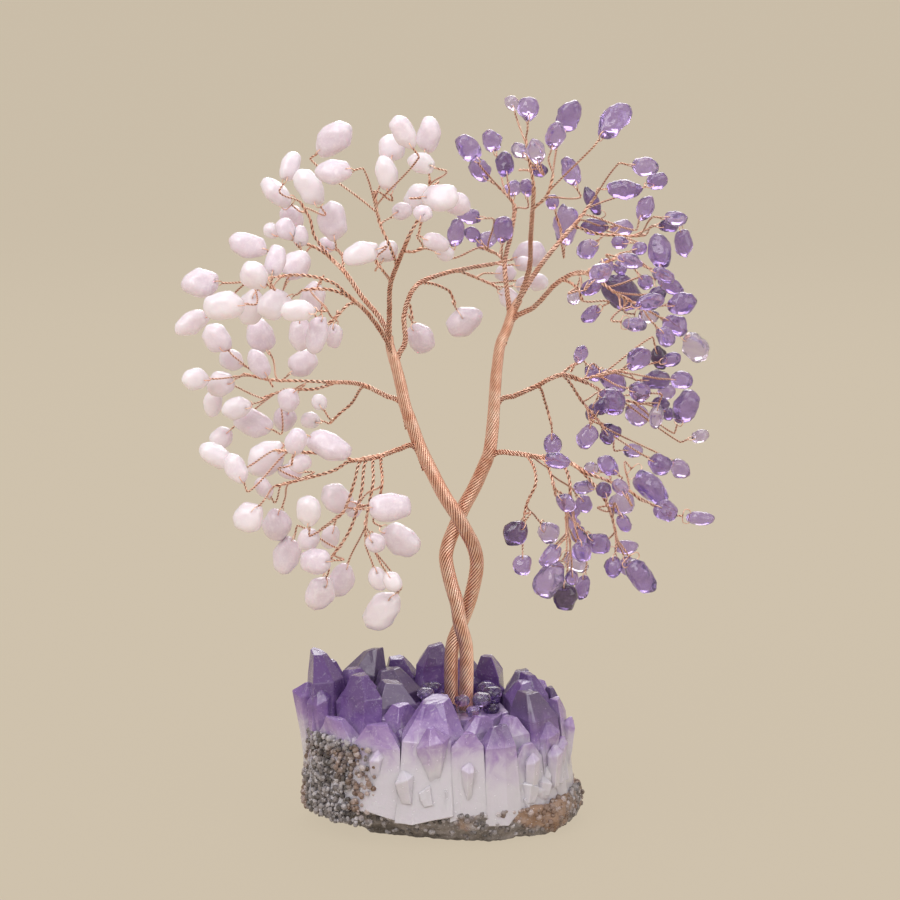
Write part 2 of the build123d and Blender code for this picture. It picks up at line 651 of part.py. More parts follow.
# Where a limb's stem begins: clear of the trunk's side, or of its end
def limb_root(line, sections, limb):
    toward = seen(*limb["route"][0])
    if limb["leaves"] >= sections[-1][1]:
        point = line[-1][0] + Vector(0, limb["shift"], 0)
        turn = radians((toward - point).get_angle(line[-1][0] - line[-2][0]))
        return point + (toward - point).normalized() * ((crotch_gap + stem_radius * sin(turn)) / cos(turn))
    above = next(k for k, section in enumerate(sections) if section[1] > limb["leaves"])
    low, high = line[above + 1], line[above + 2]
    share = (limb["leaves"] - sections[above - 1][1]) / (sections[above][1] - sections[above - 1][1])
    point = low[0] + (high[0] - low[0]) * share
    trunk_radius = low[1] + (high[1] - low[1]) * share
    turn = radians((toward - point).get_angle(high[0] - low[0]))
    reach = (trunk_radius + crotch_gap + stem_radius * abs(cos(turn))) / sin(turn)
    return point + (toward - point).normalized() * reach


def build_limb(name, limb, root, first_pattern):
    stem = bent_path([root] + [seen(*place) for place in limb["route"]])
    export_group(f"{name}_stem", [tube(stem, stem_radius)])
    sprays, twigs, chips = [], [], []
    for share, route, rows in limb["sprays"]:
        points = [seen(x, z, limb["depth"]) for x, z in route]
        start = clear_start(stem, share, points[0], stem_radius, spray_radius)
        spray = bent_path([start] + points)
        sprays.append(tube(spray, spray_radius))
        spacing = min(twig_spacing / spray.length, 0.8 / len(rows))
        for k, (x, z, layer, length, width, tilt) in enumerate(rows):
            leaves = 1 - spacing * (len(rows) - 1 - k)
            pattern = first_pattern + len(chips)
            edge_on = width < edge_on_share * length
            middle = seen(x, z, limb["depth"] + layer * layer_pitch)
            rounded = width > rounded_share * length
            plane = chip_plane(middle, spray @ leaves, tilt, rounded, edge_on, pattern)
            if edge_on:
                width *= edge_on_widening
            loop_out = plane.from_local_coords(Vector(-length / 2 - rim_gap, 0, 0))
            start = clear_start(spray, leaves, loop_out, spray_radius, twig_radius)
            twigs.append(looped_twig(start, plane, length, width))
            chips.append(drilled_chip(plane, length, width, pattern))
    export_group(f"{name}_sprays", sprays)
    export_group(f"{name}_twigs", twigs)
    export_group(f"{name}_chips", chips)
    return len(chips)


# Cluster

# Ragged outline of the cluster, as a scaled copy moved sideways
def cluster_ring(height, share, shift):
    ring = []
    for k in range(outline_sides):
        angle = 2 * pi * k / outline_sides
        reach = share * (1 + outline_roughness * sin(2.4 * k) + outline_roughness * sin(5.1 * k + 1))
        x = cluster_middle_x + shift + reach * cluster_half_width * cos(angle)
        ring.append(Vector(x, reach * cluster_half_depth * sin(angle), height))
    return ring


def cluster_layer(name, levels):
    with BuildPart() as layer:
        add(faceted([cluster_ring(*level) for level in levels]))
    layer.part.label = name
    export_step(layer.part, f"parts/{name}.step")


# The part of an outline on the near side of a line
def trimmed(outline, normal, limit):
    kept = []
    for here, after in zip(outline, outline[1:] + outline[:1]):
        depth = here.dot(normal) - limit
        next_depth = after.dot(normal) - limit
        if depth <= 0:
            kept.append(here)
        if depth * next_depth < 0:
            kept.append(here + (after - here) * (depth / (depth - next_depth)))
    return kept


# A crystal's share of the bed: it ends half way to each neighbour, nearer to the smaller one
def crystal_cell(place, reach, neighbours):
    cell = []
    for k in range(outline_sides):
        angle = 2 * pi * k / outline_sides
        x = cluster_middle_x + crystal_rim_shift + crystal_rim_share * cluster_half_width * cos(angle)
        cell.append(Vector(x, crystal_rim_share * cluster_half_depth * sin(angle)))
    for x, y, other_reach in neighbours:
        away = Vector(x, y) - place
        if away.length:
            normal = away.normalized()
            share = (away.length + (reach ** 2 - other_reach ** 2) / away.length) / 2
            cell = trimmed(cell, normal, place.dot(normal) + share - crystal_gap / 2)
    cell = trimmed(cell, place.normalized() * -1, -socket_radius - socket_gap)
    return [corner for k, corner in enumerate(cell) if (corner - cell[k - 1]).length > crystal_short_edge]


# The outline drawn in towards a middle, at a height
def drawn_in(cell, middle, share, height):
    ring = [middle + (corner - middle) * share for corner in cell]
    return [Vector(corner.X, corner.Y, height) for corner in ring]


def crystal_points():
    seats = []
    for k in range(seat_count):
        angle = 2 * pi * k / seat_count
        seats.append((seat_ring * cos(angle), seat_ring * sin(angle), seat_reach))
    neighbours = [(x, y, reach) for x, y, reach, tip in crystals] + seats
    points = []
    for x, y, reach in seats:
        place = Vector(x, y)
        cell = crystal_cell(place, reach, neighbours)
        foot = drawn_in(cell, place, 1, bed_top)
        points.append(faceted([foot, drawn_in(cell, place, seat_taper, seat_height)]))
    for x, y, reach, tip in crystals:
        place = Vector(x, y)
        cell = crystal_cell(place, reach, neighbours)
        lean = Vector(sin(2.1 * x + y), sin(1.2 * x - 2 * y)) * (crystal_tip_lean * reach)
        points.append(faceted([
            drawn_in(cell, place, 1, bed_top),
            drawn_in(cell, place, crystal_taper, tip - crystal_cap_share * reach),
            [corner + lean for corner in drawn_in(cell, place, crystal_tip_share, tip)],
        ]))
    return points


def socket_glue():
    with BuildPart() as glue:
        with BuildSketch(Plane.XY.offset(bed_top)):
            Circle(socket_radius)
        extrude(amount=seat_height - bed_top)
        with BuildSketch(Plane.XY.offset(foot_bottom - foot_hole_gap)):
            with Locations(rose_foot, amethyst_foot):
                Circle(foot_radius + foot_hole_gap)
        extrude(amount=seat_height, mode=Mode.SUBTRACT)
    return glue.part


def foot_chips():
    chips = []
    height = seat_height + foot_chip_lift + chip_thickness(foot_chip_width) / 2
    for k in range(foot_chip_count):
        angle = 2 * pi * (k + 0.25) / foot_chip_count
        out = Vector(cos(angle), sin(angle), 0)
        plane = Plane(out * foot_chip_ring + Vector(0, 0, height), x_dir=out, z_dir=(0, 0, 1))
        chips.append(chip_solid(plane, foot_chip_length, foot_chip_width, k))
    return chips


cluster_layer("rock_rind", rind_levels)
cluster_layer("quartz_bed", bed_levels)
export_group("amethyst_points", crystal_points())
export_group("socket_glue", [socket_glue()])
export_group("foot_chips", foot_chips())

first_pattern = 0
for trunk_name, sections, foot, limbs in (
    ("rose_trunk", rose_trunk_sections, rose_foot, rose_limbs),
    ("amethyst_trunk", amethyst_trunk_sections, amethyst_foot, amethyst_limbs),
):
    line = trunk_line(sections, foot)
    export_group(trunk_name, [trunk_solid(line)])
    for name, limb in limbs.items():
        root = limb_root(line, sections, limb)
        print(f"{name} crotch {root.X:.3f} {root.Y:.3f} {root.Z:.3f} bends {limb['swing']}")
        first_pattern += build_limb(name, limb, root, first_pattern)
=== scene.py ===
from math import cos, pi, radians, sin
import bpy
from mathutils import Matrix, Vector, geometry, kdtree


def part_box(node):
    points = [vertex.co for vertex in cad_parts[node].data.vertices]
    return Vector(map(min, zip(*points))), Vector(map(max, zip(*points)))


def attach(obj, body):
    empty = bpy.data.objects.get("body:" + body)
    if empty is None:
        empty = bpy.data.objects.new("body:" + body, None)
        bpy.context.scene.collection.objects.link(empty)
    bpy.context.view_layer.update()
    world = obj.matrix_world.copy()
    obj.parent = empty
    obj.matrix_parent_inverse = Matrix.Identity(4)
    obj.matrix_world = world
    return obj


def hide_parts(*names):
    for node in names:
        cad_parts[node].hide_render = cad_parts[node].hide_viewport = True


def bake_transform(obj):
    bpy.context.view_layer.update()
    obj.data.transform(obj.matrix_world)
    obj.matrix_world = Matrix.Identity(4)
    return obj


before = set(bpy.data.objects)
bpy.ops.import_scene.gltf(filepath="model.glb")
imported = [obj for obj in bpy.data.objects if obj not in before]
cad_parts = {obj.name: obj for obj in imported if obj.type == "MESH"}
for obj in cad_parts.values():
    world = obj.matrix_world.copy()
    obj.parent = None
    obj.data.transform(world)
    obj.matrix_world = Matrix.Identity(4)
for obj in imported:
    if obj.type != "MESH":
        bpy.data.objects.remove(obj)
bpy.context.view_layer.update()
foundation = "cluster_and_trunks"  # the body that stands still
print("frame loaded")

mm = 0.001
viewer = {"x": -3, "height": 236.6, "distance": 687, "aimHeight": 103, "lens": 103.7, "sensor": 36,
          "nearest": 10}  # where the photograph was taken from
backdropTone = (205, 192, 171)


def linear(rgb):  # screen colour to the renderer's numbers
    parts = [c / 255 for c in rgb]
    return (*[c / 12.92 if c <= 0.04045 else ((c + 0.055) / 1.055) ** 2.4 for c in parts], 1)


def added(name, data):
    piece = bpy.data.objects.new(name, data)
    bpy.context.collection.objects.link(piece)
    return piece


def alone(piece):  # the only selected and active object
    bpy.ops.object.select_all(action="DESELECT")
    piece.select_set(True)
    bpy.context.view_layer.objects.active = piece
    return piece


def seen(x, z, y):  # a point at depth y that shows at (x, z) in the front view
    share = (viewer["distance"] + y) / viewer["distance"]
    across = viewer["x"] + (x - viewer["x"]) * share
    up = viewer["height"] + (z - viewer["height"]) * share
    return Vector((across, y, up)) * mm


def placeCamera():
    eye = Vector((viewer["x"], -viewer["distance"], viewer["height"])) * mm
    aim = Vector((viewer["x"], 0, viewer["aimHeight"])) * mm
    bpy.ops.object.camera_add(location=eye)
    camera = bpy.context.object
    camera.data.lens = viewer["lens"]
    camera.data.sensor_width = viewer["sensor"]
    camera.data.clip_start = viewer["nearest"] * mm
    camera.rotation_euler = (aim - eye).to_track_quat("-Z", "Y").to_euler()
    bpy.context.scene.camera = camera


bpy.context.scene.view_settings.view_transform = "Standard"
placeCamera()
print("camera placed")


class Flow:  # a shader socket that can stand in a sum
    def __init__(self, nodes, socket):
        self.nodes, self.socket = nodes, socket

    def sum(self, operation, first, second):
        return self.nodes.add("ShaderNodeMath", {"operation": operation}, {0: first, 1: second})[0]

    def __add__(self, other):
        return self.sum("ADD", self, other)

    def __sub__(self, other):
        return self.sum("SUBTRACT", self, other)

    def __rsub__(self, other):
        return self.sum("SUBTRACT", other, self)

    def __mul__(self, other):
        return self.sum("MULTIPLY", self, other)


class Nodes:  # the node tree of a material or of the world
    def __init__(self, tree):
        self.tree = tree

    def plug(self, socket, value):
        if isinstance(value, Flow):
            self.tree.links.new(value.socket, socket)
        else:
            socket.default_value = value

    def add(self, kind, settings, sockets):
        node = self.tree.nodes.new(kind)
        for key, value in settings.items():
            if key == "stops":
                while len(node.color_ramp.elements) < len(value):
                    node.color_ramp.elements.new(0.5)
                for element, (place, colour) in zip(node.color_ramp.elements, value):
                    element.position, element.color = place, colour
            else:
                setattr(node, key, value)
        for key, value in sockets.items():
            self.plug(node.inputs[key], value)
        return [Flow(self, socket) for socket in node.outputs]

    def showsBackdrop(self):  # 1 for camera, glossy and transmission rays, 0 for rays that only carry light
        ray = self.add("ShaderNodeLightPath", {}, {})
        return ray[0] + ray[3] + ray[6]


class Finish(Nodes):  # one material and its nodes
    def __init__(self, name):
        self.material = bpy.data.materials.new(name)
        self.material.use_nodes = True
        super().__init__(self.material.node_tree)
        self.shader = self.tree.nodes["Principled BSDF"]

    def set(self, **values):
        for key, value in values.items():
            self.plug(self.shader.inputs[key.replace("_", " ")], value)

    def place(self):  # object coordinates
        return self.add("ShaderNodeTexCoord", {}, {})[3]

    def marked(self, name):
        return self.add("ShaderNodeAttribute", {"attribute_name": name}, {})[2]

    def grain(self, scale, detail=3, rough=0.5, swirl=0.0):
        sockets = {"Vector": self.place(), "Scale": scale, "Detail": detail, "Roughness": rough}
        return self.add("ShaderNodeTexNoise", {}, {**sockets, "Distortion": swirl})[0]

    def cells(self, scale):
        return self.add("ShaderNodeTexVoronoi", {}, {"Vector": self.place(), "Scale": scale})[0]

    def ramp(self, value, *stops):
        settings = {"stops": [(place, linear(rgb)) for place, rgb in stops]}
        return self.add("ShaderNodeValToRGB", settings, {0: value})[0]

    def mask(self, value, low, high):
        settings = {"stops": [(low, (0, 0, 0, 1)), (high, (1, 1, 1, 1))]}
        return self.add("ShaderNodeValToRGB", settings, {0: value})[0]

    def blendOf(self, share, first, second, how="MIX"):
        settings = {"data_type": "RGBA", "blend_type": how}
        return self.add("ShaderNodeMix", settings, {0: share, 6: first, 7: second})[2]

    def bump(self, height, strength, distance):
        sockets = {"Strength": strength, "Distance": distance * mm, "Height": height}
        return self.add("ShaderNodeBump", {}, sockets)[0]

    def rust(self):  # the stained patches of the rock
        return self.mask(self.grain(60, 3, 0.55, 0.4), 0.54, 0.64)


def copperFinish():
    copper = Finish("bareCopper")
    cloud = copper.grain(300, 3)
    tone = copper.ramp(cloud, (0.3, (230, 178, 154)), (0.52, (246, 206, 186)), (0.72, (252, 226, 210)))
    # painted shade: the copper is darkened towards the grooves between the strands, where shade falls
    grooveShade = copper.ramp(copper.marked("outer"), (0.12, (66, 34, 25)), (0.48, (172, 116, 94)),
                         (0.82, (255, 255, 255)))
    tone = copper.blendOf(1.0, tone, grooveShade, "MULTIPLY")
    copper.set(Base_Color=tone, Metallic=0.85, Roughness=copper.grain(900) * 0.2 + 0.28)
    return copper.material


def roseFinish():
    rose = Finish("milkyRoseQuartz")
    cloud = rose.grain(260, 4, 0.6, 0.8) * 0.6 + rose.marked("seed") * 0.4
    tone = rose.ramp(cloud, (0.25, (220, 206, 218)), (0.5, (230, 219, 228)), (0.75, (236, 228, 235)))
    veil = rose.mask(rose.grain(700, 2, 0.5, 2.0), 0.5, 0.62)
    tone = rose.blendOf(veil * 0.35, tone, linear((240, 232, 236)))
    rose.set(Base_Color=tone, Roughness=rose.grain(1500) * 0.16 + 0.16)
    rose.set(Coat_Weight=rose.grain(500) * 0.3 + 0.1)
    rose.set(Subsurface_Weight=0.7, Subsurface_Radius=(1.0, 0.85, 0.9), Subsurface_Scale=0.003, IOR=1.54)
    rose.set(Normal=rose.bump(rose.grain(420, 3), 0.25, 0.25))
    return rose.material


def amethystFinish():
    stone = Finish("polishedAmethyst")
    cloud = stone.grain(330, 4, 0.6, 1.2) - 0.5
    depth = stone.marked("tone") + cloud * 0.55
    tone = stone.ramp(depth, (0.0, (92, 74, 112)), (0.22, (138, 112, 176)), (0.5, (186, 160, 226)),
                      (0.72, (208, 190, 236)), (1.0, (234, 226, 244)))
    frost = stone.mask(stone.grain(800, 3, 0.6, 2.5), 0.56, 0.66)
    tone = stone.blendOf(frost * 0.3, tone, linear((212, 196, 232)))
    stone.set(Base_Color=tone, Roughness=stone.grain(1200) * 0.12 + 0.05)
    stone.set(Coat_Weight=stone.grain(500) * 0.4 + 0.2)
    stone.set(Transmission_Weight=0.86, IOR=1.52, Subsurface_Weight=0.2)
    stone.set(Subsurface_Radius=(0.9, 0.7, 1.0), Subsurface_Scale=0.0015)
    stone.set(Normal=stone.bump(stone.grain(500, 3), 0.25, 0.2))
    return stone.material


def crystalFinish():
    crystal = Finish("amethystCrystal")
    cloud = crystal.grain(200, 4, 0.6, 1.2) - 0.5
    climb = crystal.marked("rise") + cloud * 0.6 + (crystal.marked("seed") - 0.5) * 0.3
    tone = crystal.ramp(climb, (0.1, (226, 220, 232)), (0.34, (214, 202, 224)), (0.54, (180, 152, 204)),
                        (0.76, (146, 112, 180)), (1.0, (112, 82, 146)))
    streak = crystal.mask(crystal.grain(700, 4, 0.65, 1.5), 0.56, 0.7)
    tone = crystal.blendOf(streak * 0.3, tone, linear((236, 230, 242)))
    smoke = crystal.mask(crystal.marked("seed"), 0.74, 0.8) * crystal.mask(crystal.marked("rise"), 0.4, 0.8)
    tone = crystal.blendOf(smoke * 0.6, tone, linear((104, 94, 112)))
    crystal.set(Base_Color=tone, Roughness=crystal.grain(900) * 0.25 + 0.1)
    crystal.set(Coat_Weight=crystal.grain(300) * 0.5)
    crystal.set(Transmission_Weight=0.25, IOR=1.54, Subsurface_Weight=0.2)
    crystal.set(Subsurface_Radius=(1.0, 0.8, 1.0), Subsurface_Scale=0.002)
    crystal.set(Normal=crystal.bump(crystal.grain(700, 4, 0.6), 0.35, 0.3))
    return crystal.material


def rockFinish():
    rock = Finish("sparklingRind")
    cloud = rock.grain(180, 5, 0.65, 0.6)
    tone = rock.ramp(cloud, (0.3, (92, 86, 84)), (0.5, (138, 130, 128)), (0.7, (184, 176, 178)))
    tone = rock.blendOf(rock.rust() * 0.55, tone, linear((172, 128, 94)))
    glint = 1 - rock.mask(rock.cells(1500), 0.1, 0.2)
    tone = rock.blendOf(glint, tone, linear((232, 228, 234)))
    rock.set(Base_Color=tone, Roughness=rock.grain(800) * 0.4 + 0.45)
    rock.set(Normal=rock.bump(rock.grain(650, 6, 0.7), 0.8, 0.7))
    return rock.material


def drusyFinish():
    drusy = Finish("drusyGrains")
    tone = drusy.ramp(drusy.marked("seed"), (0.1, (88, 82, 82)), (0.55, (140, 132, 134)),
                      (0.95, (204, 198, 204)))
    tone = drusy.blendOf(drusy.rust() * 0.4, tone, linear((172, 126, 92)))
    drusy.set(Base_Color=tone, Roughness=drusy.grain(900) * 0.3 + 0.12)
    drusy.set(Transmission_Weight=0.2, IOR=1.54)
    return drusy.material


def glueFinish():
    glue = Finish("setGlue")
    tone = glue.ramp(glue.grain(400, 3), (0.35, (96, 78, 118)), (0.65, (168, 156, 178)))
    glue.set(Base_Color=tone, Roughness=glue.grain(900) * 0.2 + 0.08, Transmission_Weight=0.4)
    return glue.material


copper = copperFinish()
roseQuartz = roseFinish()
amethyst = amethystFinish()
crystal = crystalFinish()
rock = rockFinish()
drusy = drusyFinish()
glue = glueFinish()
print("finishes made")

# Where the wires and chips are, in millimetres of the front view. A chip: x, z, layer, length, width, tilt.
# A spray: share of the stem, route, chips. A limb: height on the trunk, shift at its end, depth, route
roseLimbs = {
    "rose_lower": dict(leaves=104.3, shift=0, depth=-16, route=[
        (-16.7, 103.2, -4), (-22.7, 101.0, -9), (-30.2, 99.9, -15)], sprays=[
        (0.50, [(-21.3, 94.4), (-22.1, 89.4)], [
            (-28.9, 86.7, 2, 4.3, 3.4, 0), (-16.5, 78.2, 1, 11.3, 7.6, -30),
            (-19.7, 87.2, -1, 11.9, 7.3, 5)]),
        (0.62, [(-23.8, 94.1), (-25.7, 83.7), (-25.9, 76.5)], [
            (-23.2, 77.3, -1, 4.9, 4.6, 0), (-32.7, 66.6, 1, 9.2, 6.5, 40), (-18.6, 66.3, -1, 5.4, 3.9, -60),
            (-21.6, 58.1, 1, 12.4, 8.1, 50), (-22.7, 67.4, 0, 5.9, 4.3, 90)]),
        (0.74, [(-27.0, 91.4), (-30.2, 80.9), (-35.6, 72.7)], [
            (-47.3, 74.0, 1, 10.3, 6.8, 70), (-39.4, 72.1, -1, 8.1, 6.5, 0),
            (-38.6, 63.0, 0, 9.7, 7.3, -45)]),
        (0.82, [(-28.9, 94.1), (-31.9, 85.9), (-35.4, 83.1)], [
            (-33.8, 89.7, 1, 9.7, 7.0, -80), (-41.3, 86.4, -1, 8.6, 5.9, 90), (-35.4, 79.0, 1, 5.9, 4.3, 0),
            (-41.3, 78.4, 0, 5.9, 5.1, 0)]),
        (0.91, [(-33.5, 101.5), (-42.4, 102.4), (-50.5, 102.9)], [
            (-35.9, 104.3, -1, 12.4, 6.5, -25), (-44.6, 105.4, -2, 6.5, 4.9, 60),
            (-61.0, 98.2, -1, 8.1, 4.9, -60), (-52.9, 100.4, 1, 11.3, 8.6, -40),
            (-66.2, 101.5, 0, 9.7, 4.1, -12)]),
        (1.0, [(-34.3, 97.4), (-43.7, 94.7), (-50.5, 93.0)], [
            (-43.7, 99.3, 0, 5.9, 3.8, 15), (-45.9, 97.1, 1, 6.5, 3.5, 0), (-50.0, 82.3, 1, 8.4, 7.3, 0),
            (-53.5, 92.7, 0, 5.9, 3.4, -60), (-57.8, 84.2, -1, 7.8, 7.3, 0)]),
    ]),
    "rose_middle": dict(leaves=115.3, shift=0, depth=16, route=[
        (-20.0, 117.8, 4), (-27.5, 121.1, 9), (-36.2, 121.6, 15)], sprays=[
        (0.50, [(-29.7, 115.6), (-32.9, 112.8), (-35.4, 110.3)], [
            (-38.1, 116.1, -1, 4.0, 3.4, 0), (-40.5, 111.2, 0, 4.9, 3.8, 0)]),
        (0.85, [(-39.4, 119.7), (-47.0, 119.4), (-53.5, 117.2)], [
            (-46.4, 116.9, -1, 5.9, 5.4, 0), (-47.5, 111.7, 1, 7.0, 5.9, 0),
            (-56.4, 110.6, 0, 11.3, 7.0, -20), (-64.8, 106.2, 1, 6.5, 5.4, 90),
            (-60.5, 114.5, -1, 7.6, 5.4, 90), (-66.7, 116.1, 1, 8.1, 4.6, 75)]),
        (1.0, [(-42.4, 121.9), (-51.3, 122.2), (-58.3, 123.8)], [
            (-42.7, 126.6, 1, 8.6, 6.8, -40), (-53.7, 134.0, 1, 9.5, 7.3, -30),
            (-54.3, 126.6, -1, 8.1, 4.9, -60), (-65.6, 133.7, 0, 8.6, 6.8, -30),
            (-61.8, 127.7, 1, 7.0, 5.1, 25), (-71.3, 122.4, -1, 6.8, 5.4, -30),
            (-64.5, 121.1, 0, 7.6, 6.5, 0)]),
    ]),
    "rose_outer": dict(leaves=128.5, shift=0, depth=-16, route=[
        (-20.5, 133.7, -4), (-25.1, 140.3, -9), (-30.2, 145.0, -14)], sprays=[
        (0.80, [(-30.2, 142.5), (-32.4, 140.3), (-35.6, 137.3)], [
            (-34.0, 134.3, 1, 6.5, 3.8, 80), (-38.6, 134.3, -1, 9.7, 4.9, 75),
            (-42.9, 134.5, 0, 8.6, 5.9, 90)]),
        (0.92, [(-34.3, 146.4), (-39.0, 146.8), (-42.4, 146.4)], [
            (-39.7, 144.2, 1, 8.1, 5.9, 0), (-43.7, 140.9, -2, 8.6, 4.9, 0),
            (-49.7, 142.8, 0, 9.2, 7.3, -45)]),
        (1.0, [(-34.6, 148.6), (-43.7, 150.5), (-58.6, 148.6)], [
            (-44.3, 153.0, 1, 8.6, 6.8, -50), (-49.4, 154.3, -1, 8.1, 4.6, 80),
            (-57.0, 158.5, 1, 10.3, 5.9, -15), (-55.4, 150.5, -2, 7.3, 6.5, 0),
            (-56.2, 141.7, 1, 9.2, 6.8, -10), (-63.2, 142.2, -1, 10.8, 7.0, 5),
            (-71.8, 137.8, 1, 9.7, 5.1, 25), (-69.4, 148.3, 0, 9.7, 7.0, 0)]),
    ]),
    "rose_shoulder": dict(leaves=134.0, shift=1.1, depth=16, route=[
        (-21.9, 139.2, 3), (-26.5, 144.7, 7), (-30.8, 151.0, 11), (-35.1, 155.4, 15)], sprays=[
        (0.78, [(-31.6, 155.6), (-33.2, 157.6)], [
            (-35.9, 158.5, 1, 4.3, 3.5, 0), (-34.3, 165.3, 0, 10.8, 7.6, 15)]),
        (0.92, [(-38.9, 160.7), (-40.2, 165.6), (-42.7, 170.0)], [
            (-49.1, 172.5, 1, 9.7, 4.1, -25), (-40.2, 173.9, -1, 10.8, 6.5, -60),
            (-45.4, 179.1, 0, 8.4, 4.6, 65)]),
        (1.0, [(-38.9, 157.9), (-43.0, 159.4), (-45.6, 160.2)], [
            (-42.7, 160.7, -1, 5.4, 3.5, 90), (-45.1, 165.9, 2, 7.0, 5.9, 0),
            (-46.7, 162.9, -1, 5.9, 4.6, 60), (-50.5, 162.3, 0, 4.0, 3.4, 90)]),
    ]),
    "rose_crown": dict(leaves=134.0, shift=-1.1, depth=-16, route=[
        (-19.2, 140.9, -3), (-18.9, 148.0, -7), (-16.5, 154.6, -11), (-13.8, 161.2, -15)], sprays=[
        (0.50, [(-21.1, 151.9), (-22.9, 154.6)], [
            (-19.7, 156.8, 1, 5.9, 4.6, 45), (-26.5, 156.3, 0, 9.7, 5.4, 15)]),
        (0.66, [(-18.9, 157.9), (-21.9, 165.1), (-22.9, 172.8)], [
            (-15.9, 167.5, 1, 4.9, 3.8, 0), (-33.8, 178.0, -1, 9.2, 5.7, 3), (-33.5, 186.8, 1, 11.3, 7.3, 40),
            (-15.4, 188.7, -2, 9.2, 4.9, -60), (-18.4, 184.3, 1, 7.0, 6.5, 0),
            (-19.7, 177.2, 0, 9.2, 5.1, -80)]),
        (0.82, [(-12.4, 156.8), (-10.3, 157.9)], [
            (-4.3, 156.3, 1, 4.0, 3.4, -60), (-6.8, 159.3, 0, 7.0, 3.8, -20)]),
        (1.0, [(-11.9, 164.5), (-8.6, 170.0), (-8.4, 176.6)], [
            (-10.3, 167.0, -2, 4.3, 3.4, 0), (-1.1, 169.5, 1, 7.6, 5.4, -45), (-5.4, 171.1, -1, 9.7, 6.5, 0),
            (-11.6, 171.4, 2, 7.6, 5.4, 90), (-10.3, 180.2, -1, 6.8, 4.6, -20),
            (-8.6, 187.6, 0, 9.2, 5.4, 80)]),
    ]),
    "rose_reach": dict(leaves=126.3, shift=0, depth=21, route=[
        (-15.0, 132.5, 4), (-15.2, 140.0, 7), (-12.2, 147.4, 10), (-5.9, 150.5, 15), (2.2, 152.4, 19),
        (8.6, 153.5, 21)], sprays=[
        (0.28, [(-13.8, 142.5), (-13.0, 138.7)], [
            (-10.8, 133.4, -1, 8.4, 6.8, -70)]),
        (0.50, [(-3.5, 146.4), (-1.6, 142.8)], [
            (0.8, 137.8, -1, 7.0, 10.3, 90)]),
        (0.76, [(4.9, 149.4), (9.2, 147.5)], [
            (11.9, 151.0, 1, 5.4, 4.3, 0), (12.7, 144.4, 0, 5.9, 4.6, 0), (20.3, 148.6, 1, 5.4, 4.1, 0),
            (16.5, 148.0, 0, 4.0, 3.4, 0)]),
        (1.0, [(10.2, 154.0), (11.6, 154.3)], [
            (16.7, 153.5, -1, 4.0, 3.4, 0), (18.4, 156.0, 0, 9.2, 7.0, 60)]),
    ]),
}

